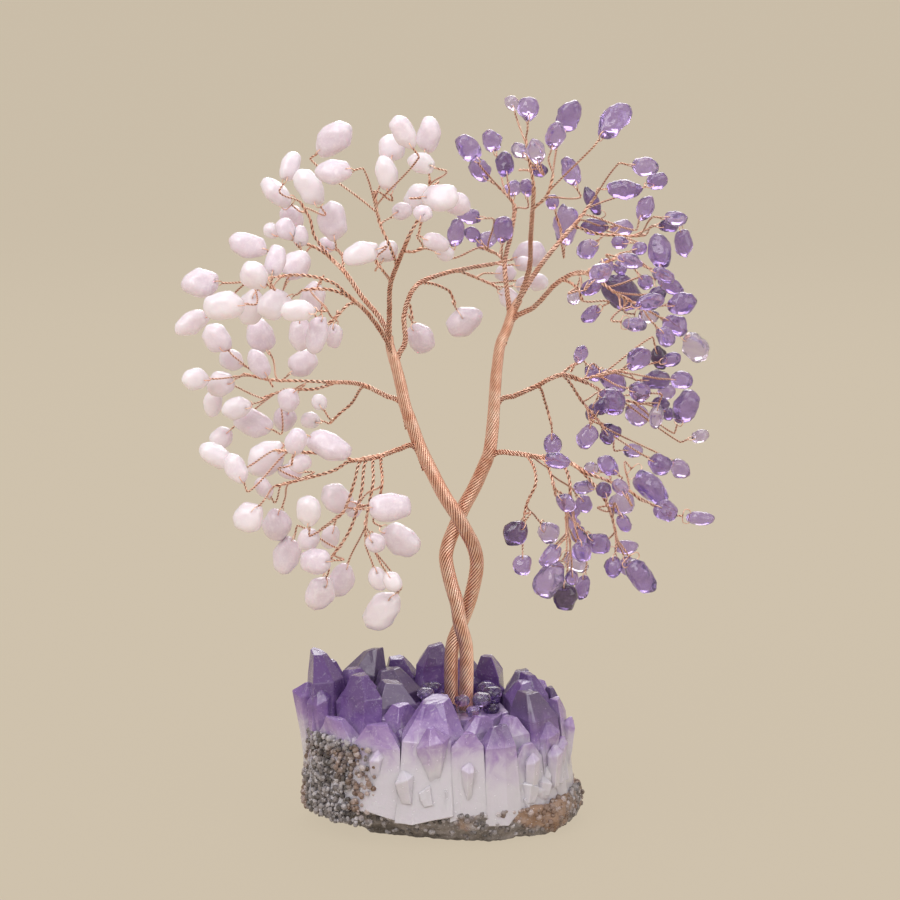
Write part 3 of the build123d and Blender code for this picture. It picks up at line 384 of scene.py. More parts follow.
amethystLimbs = {
    "amethyst_lower": dict(leaves=101.8, shift=0, depth=-16, route=[
        (14.3, 102.1, -4), (21.1, 101.0, -8), (28.4, 99.9, -12), (34.0, 96.6, -15)], sprays=[
        (0.35, [(20.3, 94.7), (17.8, 88.1), (17.0, 83.9)], [
            (23.8, 80.1, 1, 5.9, 5.7, 0), (14.9, 80.1, -1, 7.0, 6.5, 0), (16.7, 71.3, 0, 5.4, 5.1, 0)]),
        (0.52, [(24.6, 95.2), (25.6, 90.5)], [
            (25.7, 100.2, -1, 7.0, 4.1, -10), (33.2, 88.1, 2, 5.1, 4.6, 0), (28.6, 88.3, -1, 5.7, 4.1, 90),
            (30.6, 86.2, 1, 4.0, 3.4, 0), (30.5, 82.8, 2, 4.0, 3.4, 0)]),
        (0.70, [(29.5, 93.5), (28.5, 84.5), (29.7, 77.1)], [
            (32.1, 79.5, 1, 4.9, 4.3, 0), (32.7, 74.9, -2, 5.7, 5.1, 0), (24.3, 73.8, -2, 7.0, 4.1, 50),
            (37.5, 77.1, -1, 7.4, 5.4, 90), (23.8, 66.6, -1, 11.9, 5.1, 52), (33.2, 64.7, 1, 7.3, 3.8, 85),
            (31.1, 71.8, 2, 7.6, 3.4, -20), (30.2, 67.7, -1, 4.0, 3.4, 0), (28.4, 62.5, 0, 8.1, 6.8, -60)]),
        (0.88, [(37.5, 91.4), (40.5, 85.9), (42.7, 76.8)], [
            (33.2, 92.7, 1, 5.4, 3.5, 0), (38.6, 92.2, -1, 4.3, 3.8, 0), (43.7, 88.3, 1, 7.6, 6.2, 0),
            (44.3, 82.8, -1, 5.4, 3.4, -65), (41.6, 70.7, -1, 5.4, 4.6, 0), (44.6, 76.2, 1, 7.0, 3.5, 0),
            (48.9, 68.0, -1, 11.3, 4.9, -70), (45.6, 70.7, 0, 5.1, 4.9, 0)]),
        (1.0, [(39.4, 94.7), (45.4, 91.9), (48.6, 89.2)], [
            (35.1, 98.0, 1, 4.0, 3.4, 0), (39.7, 98.8, 0, 6.8, 4.1, -45), (43.2, 92.7, -1, 4.9, 3.8, 0),
            (50.8, 93.0, 1, 11.9, 4.9, -33), (64.8, 84.2, 1, 8.1, 2.8, -5), (55.6, 86.1, 0, 7.3, 5.4, 10)]),
    ]),
    "amethyst_middle": dict(leaves=115.8, shift=0, depth=16, route=[
        (14.3, 117.8, 4), (19.7, 120.2, 8), (27.0, 123.5, 12), (34.0, 121.3, 15)], sprays=[
        (0.45, [(22.7, 115.6), (24.3, 110.1)], [
            (24.8, 104.3, 0, 5.9, 4.9, 90)]),
        (0.70, [(30.0, 126.3), (31.9, 126.8)], [
            (32.1, 129.3, -1, 5.4, 3.8, 0), (35.6, 124.1, 2, 5.4, 4.6, 0)]),
        (0.72, [(32.6, 116.2), (37.0, 111.0), (41.0, 106.5)], [
            (35.4, 113.6, 1, 5.4, 3.4, 70), (37.8, 115.0, -2, 4.9, 3.4, 60), (34.0, 106.5, -1, 7.4, 5.3, 0),
            (40.8, 108.4, 1, 6.5, 3.4, -30), (39.4, 106.5, -1, 4.0, 3.4, 0), (59.1, 98.0, 1, 6.5, 4.9, -20),
            (53.7, 99.1, -1, 6.5, 5.9, 0), (46.2, 102.9, 0, 5.9, 3.8, 0)]),
        (0.91, [(41.0, 124.6), (45.2, 123.9)], [
            (40.8, 121.9, 1, 8.6, 5.9, -40), (47.8, 128.2, -2, 7.8, 5.7, 90), (48.1, 118.9, -1, 5.9, 5.4, 0),
            (53.2, 128.2, 1, 6.8, 4.6, -70), (55.1, 119.1, 1, 4.9, 4.6, 0), (56.4, 127.7, -1, 5.4, 3.8, -45),
            (59.1, 122.2, -1, 6.5, 4.9, 0), (52.7, 122.2, 0, 8.1, 5.4, 0)]),
        (1.0, [(40.5, 117.8), (48.0, 115.6)], [
            (40.8, 116.1, -1, 8.1, 7.0, 0), (47.3, 112.8, 1, 7.3, 5.9, 0), (52.7, 112.3, -1, 7.0, 3.5, 80),
            (64.3, 106.8, 1, 5.4, 3.4, 15), (55.6, 113.1, 2, 4.0, 3.4, 90), (60.5, 115.0, 1, 10.3, 7.0, 65),
            (53.7, 115.8, 0, 4.9, 3.4, 0)]),
    ]),
    "amethyst_outer": dict(leaves=138.0, shift=0, depth=-16, route=[
        (19.5, 142.0, -4), (25.7, 148.5, -8), (31.9, 151.3, -12), (36.7, 149.1, -15)], sprays=[
        (0.60, [(31.1, 146.9), (32.4, 143.6)], [
            (34.6, 147.2, -1, 5.4, 3.8, 0), (30.2, 144.7, 2, 4.6, 3.4, 0), (34.8, 140.0, 0, 5.9, 3.5, 40)]),
        (0.86, [(37.3, 153.5), (43.6, 155.3), (47.4, 154.3)], [
            (38.6, 153.0, 1, 4.0, 3.4, 0), (37.0, 151.0, -2, 5.9, 5.1, 0), (42.4, 152.5, 2, 4.0, 3.4, 0),
            (45.1, 154.3, -2, 6.8, 3.8, -20), (47.3, 157.4, 1, 4.0, 3.4, 0), (48.9, 148.8, -1, 4.0, 3.4, 0),
            (53.7, 150.5, 0, 6.5, 3.4, -25), (52.7, 156.8, 1, 9.7, 6.2, -75)]),
        (1.0, [(41.0, 145.8), (47.0, 142.6), (50.6, 140.6)], [
            (42.9, 145.5, 2, 12.4, 9.2, 60), (56.2, 147.5, 1, 8.1, 2.8, -10), (52.4, 145.3, -1, 4.0, 3.4, 0),
            (50.2, 143.3, -2, 8.1, 4.1, 10), (49.9, 139.5, 2, 5.9, 2.6, 0), (46.4, 137.3, -1, 5.9, 2.6, 0),
            (59.1, 142.8, -1, 8.1, 5.7, -20), (54.8, 133.7, -2, 5.9, 4.3, 80),
            (62.9, 131.0, 1, 8.6, 6.5, -50), (57.0, 137.0, 0, 6.8, 5.7, 0)]),
    ]),
    "amethyst_shoulder": dict(leaves=143.9, shift=1.1, depth=16, route=[
        (20.3, 151.9, 4), (25.4, 158.5, 9), (31.1, 165.1, 14)], sprays=[
        (0.72, [(26.5, 162.3), (25.4, 165.6)], [
            (27.8, 164.2, 1, 12.4, 6.8, 85), (24.3, 170.0, 0, 4.0, 3.4, 90)]),
        (0.90, [(36.2, 161.5), (45.4, 160.9), (49.0, 161.2)], [
            (33.5, 157.4, -1, 5.9, 5.1, 0), (35.1, 163.4, 1, 8.1, 4.3, 0), (41.9, 159.3, -1, 4.9, 3.4, 0),
            (42.7, 163.1, 2, 7.0, 4.1, 0), (58.9, 159.3, 1, 8.1, 4.9, -80), (57.0, 165.6, -1, 7.0, 3.8, 0),
            (55.1, 163.7, 0, 5.9, 3.5, 0)]),
        (1.0, [(33.8, 169.0), (35.6, 171.4)], [
            (34.8, 170.0, 1, 9.2, 2.6, -50), (48.9, 168.6, -1, 7.3, 4.3, 65), (51.8, 175.5, 1, 5.9, 4.6, 60),
            (48.3, 179.4, -1, 7.6, 4.9, -5), (42.7, 173.3, 0, 10.0, 5.4, 0)]),
    ]),
    "amethyst_crown": dict(leaves=143.9, shift=-1.1, depth=-16, route=[
        (18.1, 152.4, -3), (18.4, 160.1, -8), (18.9, 167.8, -12), (19.2, 173.9, -15)], sprays=[
        (0.80, [(22.7, 171.7), (24.3, 177.2)], [
            (28.9, 178.0, 1, 8.1, 4.6, -70), (40.5, 191.7, -1, 11.9, 6.5, 55), (28.4, 192.8, 1, 9.7, 5.9, 70),
            (24.8, 187.6, 0, 7.6, 4.9, 75)]),
        (1.0, [(18.1, 179.9), (17.0, 186.5)], [
            (20.5, 178.5, 1, 4.0, 3.4, 0), (15.4, 183.5, 1, 4.9, 3.8, 90), (19.7, 183.2, -1, 6.5, 4.3, -75),
            (13.2, 196.1, 1, 4.0, 3.4, 0), (17.6, 194.8, 0, 6.5, 5.4, -60)]),
    ]),
    "amethyst_reach": dict(leaves=138.1, shift=0, depth=14, route=[
        (12.2, 146.4, 3), (11.6, 154.1, 7), (13.2, 161.2, 10), (14.3, 168.4, 13)], sprays=[
        (0.48, [(9.2, 156.3), (5.1, 157.9)], [
            (11.1, 162.9, -1, 7.3, 5.4, 60), (6.8, 159.8, 1, 7.0, 4.3, 35), (3.2, 161.2, -1, 5.1, 3.8, 0),
            (2.2, 166.2, -1, 7.0, 4.1, -5), (-1.4, 161.8, 0, 8.1, 4.3, 80)]),
        (1.0, [(12.7, 171.1), (9.4, 174.4)], [
            (17.3, 173.9, -1, 4.9, 3.4, 90), (13.8, 173.6, 1, 5.1, 4.1, 90), (11.6, 179.9, -1, 6.8, 4.9, -15),
            (8.1, 186.0, 1, 6.5, 5.1, 70), (1.9, 184.0, -1, 8.1, 5.9, -35), (4.9, 178.5, 0, 7.0, 5.4, -20)]),
    ]),
}

# Sections of the trunks: x, z, depth, radius
roseTrunk = [
    (-2.4, 47.9, 1.75, 1.95), (0.0, 54.8, 2.3, 1.95), (1.6, 58.9, 2.0, 1.95), (3.2, 64.4, 1.0, 1.95),
    (4.3, 71.3, 0.0, 1.95), (3.5, 76.0, -1.0, 1.95), (1.4, 80.4, -2.0, 1.95), (-1.1, 85.0, -2.3, 1.95),
    (-4.6, 90.5, -1.8, 1.9), (-8.1, 97.4, -0.9, 1.85), (-11.3, 104.3, 0.0, 1.8), (-13.2, 109.8, 0.0, 1.75),
    (-15.1, 115.3, 0.0, 1.65), (-16.2, 120.8, 0.0, 1.6), (-17.6, 126.3, 0.0, 1.5),
    (-19.0, 131.0, 0.0, 1.45), (-19.3, 134.0, 0.0, 1.45),
]

amethystTrunk = [
    (1.4, 47.9, -1.75, 1.95), (-0.3, 54.8, -2.3, 1.95), (-1.1, 60.3, -2.0, 1.95), (-2.7, 65.8, -1.0, 1.95),
    (-4.1, 72.7, 0.0, 1.95), (-3.5, 76.8, 1.0, 1.95), (-1.4, 82.3, 2.0, 1.95), (0.8, 87.5, 2.3, 1.95),
    (3.2, 91.9, 1.8, 1.9), (5.7, 97.4, 0.9, 1.85), (7.6, 102.4, 0.0, 1.8), (8.4, 108.4, 0.0, 1.75),
    (8.9, 115.3, 0.0, 1.65), (9.2, 120.8, 0.0, 1.6), (9.7, 126.3, 0.0, 1.5), (10.5, 131.8, 0.0, 1.45),
    (12.2, 135.9, 0.0, 1.4), (13.8, 140.9, 0.0, 1.4), (15.4, 143.9, 0.0, 1.4),
]

stoneTones = {  # chips that stand out: dark near 0, pale near 1
    (11.6, 179.9): 0.2, (13.2, 196.1): 0.85, (15.4, 183.5): 0.8, (19.7, 183.2): 0.8, (20.5, 178.5): 0.2,
    (34.8, 170.0): 0.2, (35.1, 163.4): 0.25, (55.1, 163.7): 0.2, (42.9, 145.5): 0.08, (52.4, 145.3): 0.2,
    (30.2, 144.7): 0.85, (49.9, 139.5): 0.85, (62.9, 131.0): 0.9, (53.2, 128.2): 0.02, (35.4, 113.6): 0.2,
    (37.8, 115.0): 0.22, (52.7, 122.2): 0.2, (53.7, 115.8): 0.2, (55.6, 113.1): 0.22, (40.8, 108.4): 0.2,
    (39.4, 106.5): 0.2, (52.7, 112.3): 0.85, (64.3, 106.8): 0.85, (14.9, 80.1): 0.15, (38.6, 92.2): 0.2,
    (28.4, 62.5): 0.03, (23.8, 80.1): 0.75, (31.1, 71.8): 0.85, (35.1, 98.0): 0.85, (43.2, 92.7): 0.7,
    (43.7, 88.3): 0.72}


# Wires: every chip hangs on a twisted pair; pairs gather in sprays, sprays in stems, stems in the trunks
# grooveShade: the share of a wire's reach inside which the copper gets the full painted shade
wire = {"thickness": 0.14, "roundness": 1, "reach": 0.17, "pairPitch": 1.8, "step": 0.25, "grooveShade": 0.2,
        "peel": 3.0, "arrival": 2.6, "arrivalShare": 0.4, "spacing": 1.6, "rowShare": 0.8,
        "loopPoints": 14, "loopSquare": 0.55}
spray = {"strands": 2, "strand": 0.22, "reach": (0.32, 0.22), "pitch": 3.2, "step": 0.4, "peel": 4.5,
         "grooveShade": 0.2}
stem = {"pairs": 5, "reach": (0.56, 0.32), "pitch": 17.0, "pitchStep": 0.06, "step": 0.28, "peel": 7.0,
        "inside": 0.55, "crownBack": 0.2, "crownShift": 0.6, "bendFrom": 0.4, "bendTo": 0.2, "grooveShade": 0.12}
trunk = {"strands": 14, "strand": 0.33, "roundness": 2, "pitch": 18.0, "step": 0.7, "core": 0.84,
         "foot": 16, "seat": 31, "roseFoot": (-2.6, 1.7), "amethystFoot": (1.4, -1.9), "footRadius": 1.95,
         "endFrom": 0.95, "endRun": 0.05, "endShare": 0.75, "evening": 3, "grooveShade": 0.8}
chip = {"holeInset": 1.5, "rimGap": 0.6, "faceGap": 0.65, "thick": 0.6, "thinnest": 2.2, "thickest": 4.6,
        "layer": 7.5, "roundShare": 0.7, "edgeShare": 0.46, "edgeRoll": 62, "edgeWiden": 1.5, "swing": 15,
        "roll": 18, "voxel": 0.4, "lump": 3.0, "tone": 0.5, "toneSwing": 0.12}
tumbled = {"rose_quartz": {"smoothing": 8, "swell": 0.75, "uneven": 0.3},
           "amethyst": {"smoothing": 12, "swell": 0.5, "uneven": 0.95}}
variety = {"roll": (2.4, 0), "swing": (1.7, 0.6), "tone": (3.7, 0), "seed": (5.3, 1)}  # rate and start


def varied(kind, number):  # from -1 to 1, another value for each chip
    rate, start = variety[kind]
    return sin(rate * number + start)


def smoothLine(points, step):  # even points, step millimetres apart, on a smooth line through the given ones
    between = 14  # fine points from one given point to the next
    fine = []
    last = len(points) - 1
    for k in range(last):
        here, there = points[k], points[k + 1]
        reach = (there - here).length / 3
        leaving = (there - points[k - 1]).normalized() * reach if k else (there - here) / 3
        landing = (points[k + 2] - here).normalized() * reach if k + 1 < last else (there - here) / 3
        span = (here, here + leaving, there - landing, there)
        fine += geometry.interpolate_bezier(*span, between)[:-1]
    fine.append(points[-1].copy())
    runs = [0.0]
    for a, b in zip(fine, fine[1:]):
        runs.append(runs[-1] + (b - a).length)
    count = max(3, round(runs[-1] / (step * mm)) + 1)
    line, k = [], 0
    for i in range(count):
        goal = runs[-1] * i / (count - 1)
        while k < len(fine) - 2 and runs[k + 1] < goal:
            k += 1
        line.append(fine[k].lerp(fine[k + 1], min(1, (goal - runs[k]) / max(runs[k + 1] - runs[k], 1e-9))))
    return line


def lengthOf(line):
    return sum((b - a).length for a, b in zip(line, line[1:]))


def onLine(line, share):
    place = max(0, min(1, share)) * (len(line) - 1)
    k = min(int(place), len(line) - 2)
    return line[k].lerp(line[k + 1], place - k)


def newCurve(name, thickness, roundness):
    curve = bpy.data.curves.new(name, "CURVE")
    curve.dimensions = "3D"
    curve.bevel_depth = thickness * mm
    curve.bevel_resolution = roundness
    curve.use_fill_caps = True
    return curve


def addStrand(curve, track, closed=False, swell=1.0):
    strand = curve.splines.new("POLY")
    strand.points.add(len(track) - 1)
    strand.points.foreach_set("co", [c for p in track for c in (*p, 1)])
    strand.points.foreach_set("radius", swell if isinstance(swell, list) else [swell] * len(track))
    strand.use_cyclic_u = closed


def taper(line, ends):
    return [ends[0] + (ends[1] - ends[0]) * i / (len(line) - 1) for i in range(len(line))]


def laidRound(line, strands, reaches, pitch, start=0.0):  # lines wound round a line
    side = (line[1] - line[0]).orthogonal().normalized()
    tracks = [[] for k in range(strands)]
    travelled = 0.0
    for i, point in enumerate(line):
        ahead = (line[min(i + 1, len(line) - 1)] - line[max(i - 1, 0)]).normalized()
        side = (side - ahead * side.dot(ahead)).normalized()
        up = ahead.cross(side)
        if i:
            travelled += (point - line[i - 1]).length
        reach = reaches[i]
        for k, track in enumerate(tracks):
            angle = start + 2 * pi * (k / strands + travelled / (pitch * mm))
            track.append(point + side * (reach * mm * cos(angle)) + up * (reach * mm * sin(angle)))
    return tracks


def twist(curve, line, strands, reaches, pitch, start=0.0):
    for track in laidRound(line, strands, reaches, pitch, start):
        addStrand(curve, track)


def mark(piece, name, values):
    kept = piece.data.attributes.new(name, "FLOAT", "POINT")
    kept.data.foreach_set("value", values)


def treeOf(points):
    tree = kdtree.KDTree(len(points))
    for k, point in enumerate(points):
        tree.insert(point, k)
    tree.balance()
    return tree


def paintGrooveShade(piece, cores, inner):  # painted shade: 0, darkest, in the grooves between the strands, 1 on their backs
    tree = treeOf([point for point, reach in cores])
    shares = []
    for v in piece.data.vertices:
        point, k, away = tree.find(v.co)
        shares.append(max(0, min(1, (away / (cores[k][1] * mm) - inner) / (1 - inner))))
    mark(piece, "outer", shares)


def wirePiece(name, curve, node, cores, inner):  # a curve made a mesh that stands for a CAD node, with shade painted into its grooves
    alone(added(name, curve))
    bpy.ops.object.convert(target="MESH")
    piece = bpy.context.object
    paintGrooveShade(piece, cores, inner)
    piece.data.materials.clear()
    piece.data.materials.append(copper)
    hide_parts(node)
    return piece


def buildTrunk(name, sections, place):
    foot = Vector((*place, trunk["foot"])) * mm
    points = [foot, Vector((foot.x, foot.y, trunk["seat"] * mm))]
    points += [seen(x, z, y) for x, z, y, radius in sections]
    radii = [trunk["footRadius"], trunk["footRadius"]] + [radius for x, z, y, radius in sections]
    line = smoothLine(points, trunk["step"])
    reaches = []
    for i, point in enumerate(line):
        near = min(range(len(points)), key=lambda k: (points[k] - point).length)
        share = max(0.0, (i / (len(line) - 1) - trunk["endFrom"]) / trunk["endRun"])
        reaches.append(radii[near] * (1 - (1 - trunk["endShare"]) * share) - trunk["strand"])
    for k in range(trunk["evening"]):  # even out the steps from section to section
        reaches = [(reaches[max(i - 1, 0)] + r + reaches[min(i + 1, len(reaches) - 1)]) / 3
                   for i, r in enumerate(reaches)]
    curve = newCurve(f"{name}Wires", trunk["strand"], trunk["roundness"])
    twist(curve, line, trunk["strands"], reaches, trunk["pitch"])
    addStrand(curve, line, swell=[trunk["core"] * r / trunk["strand"] for r in reaches])
    cores = [(point, reach + trunk["strand"]) for point, reach in zip(line, reaches)]
    piece = wirePiece(f"{name}Wires", curve, name, cores, trunk["grooveShade"])
    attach(piece, foundation)
    return points, radii


def stemRoot(points, radii, limb, sections):  # where a limb's wires part from the trunk, and a point before
    heights = [z for x, z, y, radius in sections]
    if limb["leaves"] >= heights[-1]:
        shift = Vector((0, limb["shift"], 0))
        back = points[-2].lerp(points[-1], stem["crownBack"])
        return points[-1] + shift * mm, back + shift * (stem["crownShift"] * mm)
    above = next(k for k, z in enumerate(heights) if z > limb["leaves"])
    share = (limb["leaves"] - heights[above - 1]) / (heights[above] - heights[above - 1])
    low, high = points[above + 1], points[above + 2]
    middle = low.lerp(high, share)
    out = (seen(*limb["route"][0]) - middle).normalized()
    radius = radii[above + 1]
    back = middle - (high - low).normalized() * (stem["peel"] * mm)
    return middle + out * (radius * mm), back + out * (stem["inside"] * radius * mm)


def chipPose(middle, fromPoint, tilt, rounded, edgeOn, number):  # along the chip, and out of its face
    along = Vector((cos(radians(tilt)), 0, sin(radians(tilt))))
    arriving = Vector((middle.x - fromPoint.x, 0, middle.z - fromPoint.z))
    if rounded:
        along = arriving.normalized()
    elif along.dot(arriving) < 0:
        along = -along
    roll = chip["roll"] * varied("roll", number) + chip["edgeRoll"] * edgeOn
    facing = Matrix.Rotation(radians(roll), 3, along) @ Vector((0, -1, 0))
    swing = radians(chip["swing"] * varied("swing", number))
    return along * cos(swing) + facing * sin(swing), facing * cos(swing) - along * sin(swing)


def loopThrough(middle, along, facing, length, width):  # the wire's lap round the rim and through the hole
    tall = max(chip["thinnest"], min(chip["thickest"], chip["thick"] * width)) / 2 + chip["faceGap"]
    centre = middle + along * ((chip["holeInset"] - chip["rimGap"] - length) / 2 * mm)
    wide = (chip["holeInset"] + chip["rimGap"]) / 2
    lap = []
    for k in range(wire["loopPoints"]):
        angle = 2 * pi * k / wire["loopPoints"]
        square = max(abs(cos(angle)), abs(sin(angle))) ** -wire["loopSquare"]
        out = along * (wide * cos(angle) * square * mm)
        lap.append(centre + out + facing * (tall * sin(angle) * square * mm))
    return lap


def mergedCopy(node, name):
    copied = alone(added(name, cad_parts[node].data.copy()))
    bpy.ops.object.mode_set(mode="EDIT")
    bpy.ops.mesh.select_all(action="SELECT")
    bpy.ops.mesh.remove_doubles(threshold=1e-6)
    bpy.ops.object.mode_set(mode="OBJECT")
    return copied


def reworked(piece, kind, **settings):  # a modifier, set and applied
    modifier = piece.modifiers.new(kind, kind)
    for key, value in settings.items():
        setattr(modifier, key, value)
    bpy.ops.object.modifier_apply(modifier=modifier.name)


def dress(piece, finish, body):
    piece.data.materials.clear()
    piece.data.materials.append(finish)
    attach(piece, body)


def crumple(stone, strength, size):  # uneven along its normals
    cloud = bpy.data.textures.new(stone.name, "CLOUDS")
    cloud.noise_scale = size * mm
    cloud.noise_depth = 2
    reworked(stone, "DISPLACE", texture=cloud, texture_coords="LOCAL", strength=strength * mm, mid_level=0.5)


def roundedCopy(node, name, voxel, smoothing, swell, uneven):  # a CAD node's solids as tumbled stones
    stones = mergedCopy(node, name)
    reworked(stones, "REMESH", mode="VOXEL", voxel_size=voxel * mm)
    reworked(stones, "SMOOTH", factor=0.5, iterations=smoothing)
    if swell:  # gives back what the smoothing took
        reworked(stones, "DISPLACE", mid_level=0, strength=swell * mm)
    if uneven:
        crumple(stones, uneven, chip["lump"])
    bpy.ops.object.shade_smooth()
    stones.data.materials.clear()
    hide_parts(node)
    return stones


def markStones(stones, middles, tones, seeds):  # each stone's own tone
    tree = treeOf(middles)
    owners = [tree.find(v.co)[1] for v in stones.data.vertices]
    for name, values in (("tone", tones), ("seed", seeds)):
        mark(stones, name, [values[k] for k in owners])


def layPair(curve, cores, line, pitch, start):  # two wires twisted round a line
    twist(curve, line, 2, [wire["reach"]] * len(line), pitch, start)
    cores += [(point, wire["reach"] + wire["thickness"]) for point in line]


def hangChip(curve, cores, sprayLine, leaves, depth, row, number):  # a chip's wires; gives the chip's middle
    x, z, layer, length, width, tilt = row
    middle = seen(x, z, depth + layer * chip["layer"])
    edgeOn = width < chip["edgeShare"] * length
    rounded = width > chip["roundShare"] * length
    fromPoint = onLine(sprayLine, leaves)
    along, facing = chipPose(middle, fromPoint, tilt, rounded, edgeOn, number)
    if edgeOn:
        width *= chip["edgeWiden"]
    rim = middle - along * ((length / 2 + chip["rimGap"]) * mm)
    bend = rim - along * min(wire["arrival"] * mm, wire["arrivalShare"] * (rim - fromPoint).length)
    inside = onLine(sprayLine, leaves - wire["peel"] * mm / lengthOf(sprayLine))
    pairLine = smoothLine([inside, fromPoint, bend, rim], wire["step"])
    layPair(curve, cores, pairLine, wire["pairPitch"], number)
    addStrand(curve, loopThrough(middle, along, facing, length, width), closed=True)
    return middle


def buildLimb(name, limb, root, before, stone, slotName, number):  # gives the next chip's number
    stemLine = smoothLine([before, root] + [seen(*place) for place in limb["route"]], stem["step"])
    stemLength = lengthOf(stemLine)
    lead = (root - before).length / stemLength  # the part inside the trunk
    stemCurve = newCurve(f"{name}StemWires", wire["thickness"], wire["roundness"])
    sprayCurve = newCurve(f"{name}SprayWires", spray["strand"], wire["roundness"])
    twigCurve = newCurve(f"{name}TwigWires", wire["thickness"], wire["roundness"])
    stemCores, sprayCores, twigCores = [], [], []
    pairs = laidRound(stemLine, stem["pairs"], taper(stemLine, stem["reach"]), stem["pitch"])
    for k, track in enumerate(pairs):
        pitch = wire["pairPitch"] * (1 + stem["pitchStep"] * k)
        layPair(stemCurve, stemCores, track, pitch, k)
    middles, tones, seeds = [], [], []
    for share, route, rows in limb["sprays"]:
        start = lead + (1 - lead) * share
        peel = spray["peel"] * mm / stemLength
        points = [onLine(stemLine, start - peel), onLine(stemLine, start)]
        points += [seen(x, z, limb["depth"]) for x, z in route]
        sprayLine = smoothLine(points, spray["step"])
        sprayLength = lengthOf(sprayLine) - spray["peel"] * mm
        sprayReach = taper(sprayLine, spray["reach"])
        twist(sprayCurve, sprayLine, spray["strands"], sprayReach, spray["pitch"], number)
        sprayCores += [(point, r + spray["strand"]) for point, r in zip(sprayLine, sprayReach)]
        spacing = min(wire["spacing"] * mm / sprayLength, wire["rowShare"] / len(rows))
        for k, row in enumerate(rows):
            leaves = 1 - spacing * (len(rows) - 1 - k)
            middles.append(hangChip(twigCurve, twigCores, sprayLine, leaves, limb["depth"], row, number))
            tones.append(stoneTones.get(row[:2], chip["tone"] + chip["toneSwing"] * varied("tone", number)))
            seeds.append(0.5 + 0.5 * varied("seed", number))
            number += 1
    stemPiece = wirePiece(f"{name}StemWires", stemCurve, f"{name}_stem", stemCores, stem["grooveShade"])
    bendTo = stemLine[int(len(stemLine) * (lead + (1 - lead) * stem["bendTo"]))]
    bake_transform(stemPiece)
    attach(wirePiece(f"{name}SprayWires", sprayCurve, f"{name}_sprays", sprayCores, spray["grooveShade"]), name)
    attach(wirePiece(f"{name}TwigWires", twigCurve, f"{name}_twigs", twigCores, wire["grooveShade"]), name)
    stones = roundedCopy(f"{name}_chips", f"{name}Chips", chip["voxel"], **tumbled[slotName])
    markStones(stones, middles, tones, seeds)
    dress(stones, stone, name)
    return number


chipsHung = 0
for trunkName, sections, foot, limbs, stone, slotName in (
    ("rose_trunk", roseTrunk, trunk["roseFoot"], roseLimbs, roseQuartz, "rose_quartz"),
    ("amethyst_trunk", amethystTrunk, trunk["amethystFoot"], amethystLimbs, amethyst, "amethyst"),
):
    points, radii = buildTrunk(trunkName, sections, foot)
    for name, limb in limbs.items():
        root, before = stemRoot(points, radii, limb, sections)
        chipsHung = buildLimb(name, limb, root, before, stone, slotName, chipsHung)
    print(trunkName, "wired,", chipsHung, "chips so far")


# The raw amethyst cluster. A spread is its lowest share and how far it goes above that
cluster = {"bevel": 0.5, "segments": 1, "finer": 1, "palest": 16.0, "deepest": 38.0, "etch": 0.8,
           "etchSize": 2.6, "closing": 1.1, "blunting": 1.3, "slant": 0.2, "lean": 0.05, "floor": 14.0,
           "seat": 31.1, "near": 0.1, "rim": 0.72, "apron": 7.0, "apronSpread": (0.7, 0.6), "flare": 1.07}
young = {"each": 2, "root": 13.0, "away": 0.72, "clear": 8.5, "girth": 0.6, "girthSpread": (0.75, 0.6),
         "heightSpread": (0.45, 0.28), "cap": 0.9, "lean": 0.1}
teeth = {"count": 64, "middleX": -5.8, "halfWidth": 34.8, "halfDepth": 26.0, "root": 6.0, "rootRise": 7,
         "tall": 5.0, "tallSpread": (0.6, 0.9), "girth": 2.3, "girthSpread": (0.6, 0.9), "cap": 2.2,
         "lean": 14, "sway": 0.6, "jitter": 0.5}
habit = {"capHeight": 0.5, "tip": 0.24, "foot": 0.7, "squash": 0.22, "skew": 0.3, "slope": 0.35}
rind = {"voxel": 0.8, "smoothing": 2, "lump": 2.4, "lumpSize": 6.0, "pit": 0.9, "pitSize": 1.5,
        "bedShare": 0.94}
grains = {"around": 1500, "facing": -0.6, "lowest": 1.2, "patch": 1300, "patchFrom": 172, "patchTo": 244,
          "patchLow": 5.0, "patchHigh": 27.0, "patchOut": 1.8, "thinning": 1.3, "drawnIn": 0.05,
          "size": 0.62, "sizeSpread": (0.5, 1), "sink": 0.7}
heap = {"chips": 9, "ring": 7.9, "ringStart": 0.25, "height": 32.6, "smoothing": 12, "swell": 0.3,
        "uneven": 0.5, "lift": 2.7, "turn": 22, "away": 2.6, "sizeSpread": (0.8, 0.4), "jitter": 1.2,
        "tone": 0.4, "toneSwing": 0.3, "toneRate": 2.9}


def modelCrystal():  # a six-sided shaft of radius and height 1 with a blunt point
    bpy.ops.object.select_all(action="DESELECT")
    bpy.ops.mesh.primitive_cylinder_add(vertices=6, radius=1, depth=1, location=(0, 0, 0.5))
    shaft = bpy.context.object
    shaft.data.transform(shaft.matrix_world)
    shaft.matrix_world = Matrix.Identity(4)
    bpy.ops.object.mode_set(mode="EDIT")
    bpy.ops.mesh.select_mode(type="FACE")
    bpy.ops.mesh.select_all(action="DESELECT")
    bpy.ops.object.mode_set(mode="OBJECT")
    for face in shaft.data.polygons:
        face.select = face.normal.z > 0.9
    bpy.ops.object.mode_set(mode="EDIT")
    bpy.ops.mesh.extrude_region_move(TRANSFORM_OT_translate={"value": (0, 0, habit["capHeight"])})
    bpy.ops.transform.resize(value=(habit["tip"], habit["tip"], 1))
    bpy.ops.object.mode_set(mode="OBJECT")
    return shaft


def scatter(k, salt):  # an even spread of values from 0 to 1
    return (sin(12.9898 * k + 78.233 * salt) * 43758.5453) % 1


def drawn(spread, k, salt):
    return spread[0] + spread[1] * scatter(k, salt)


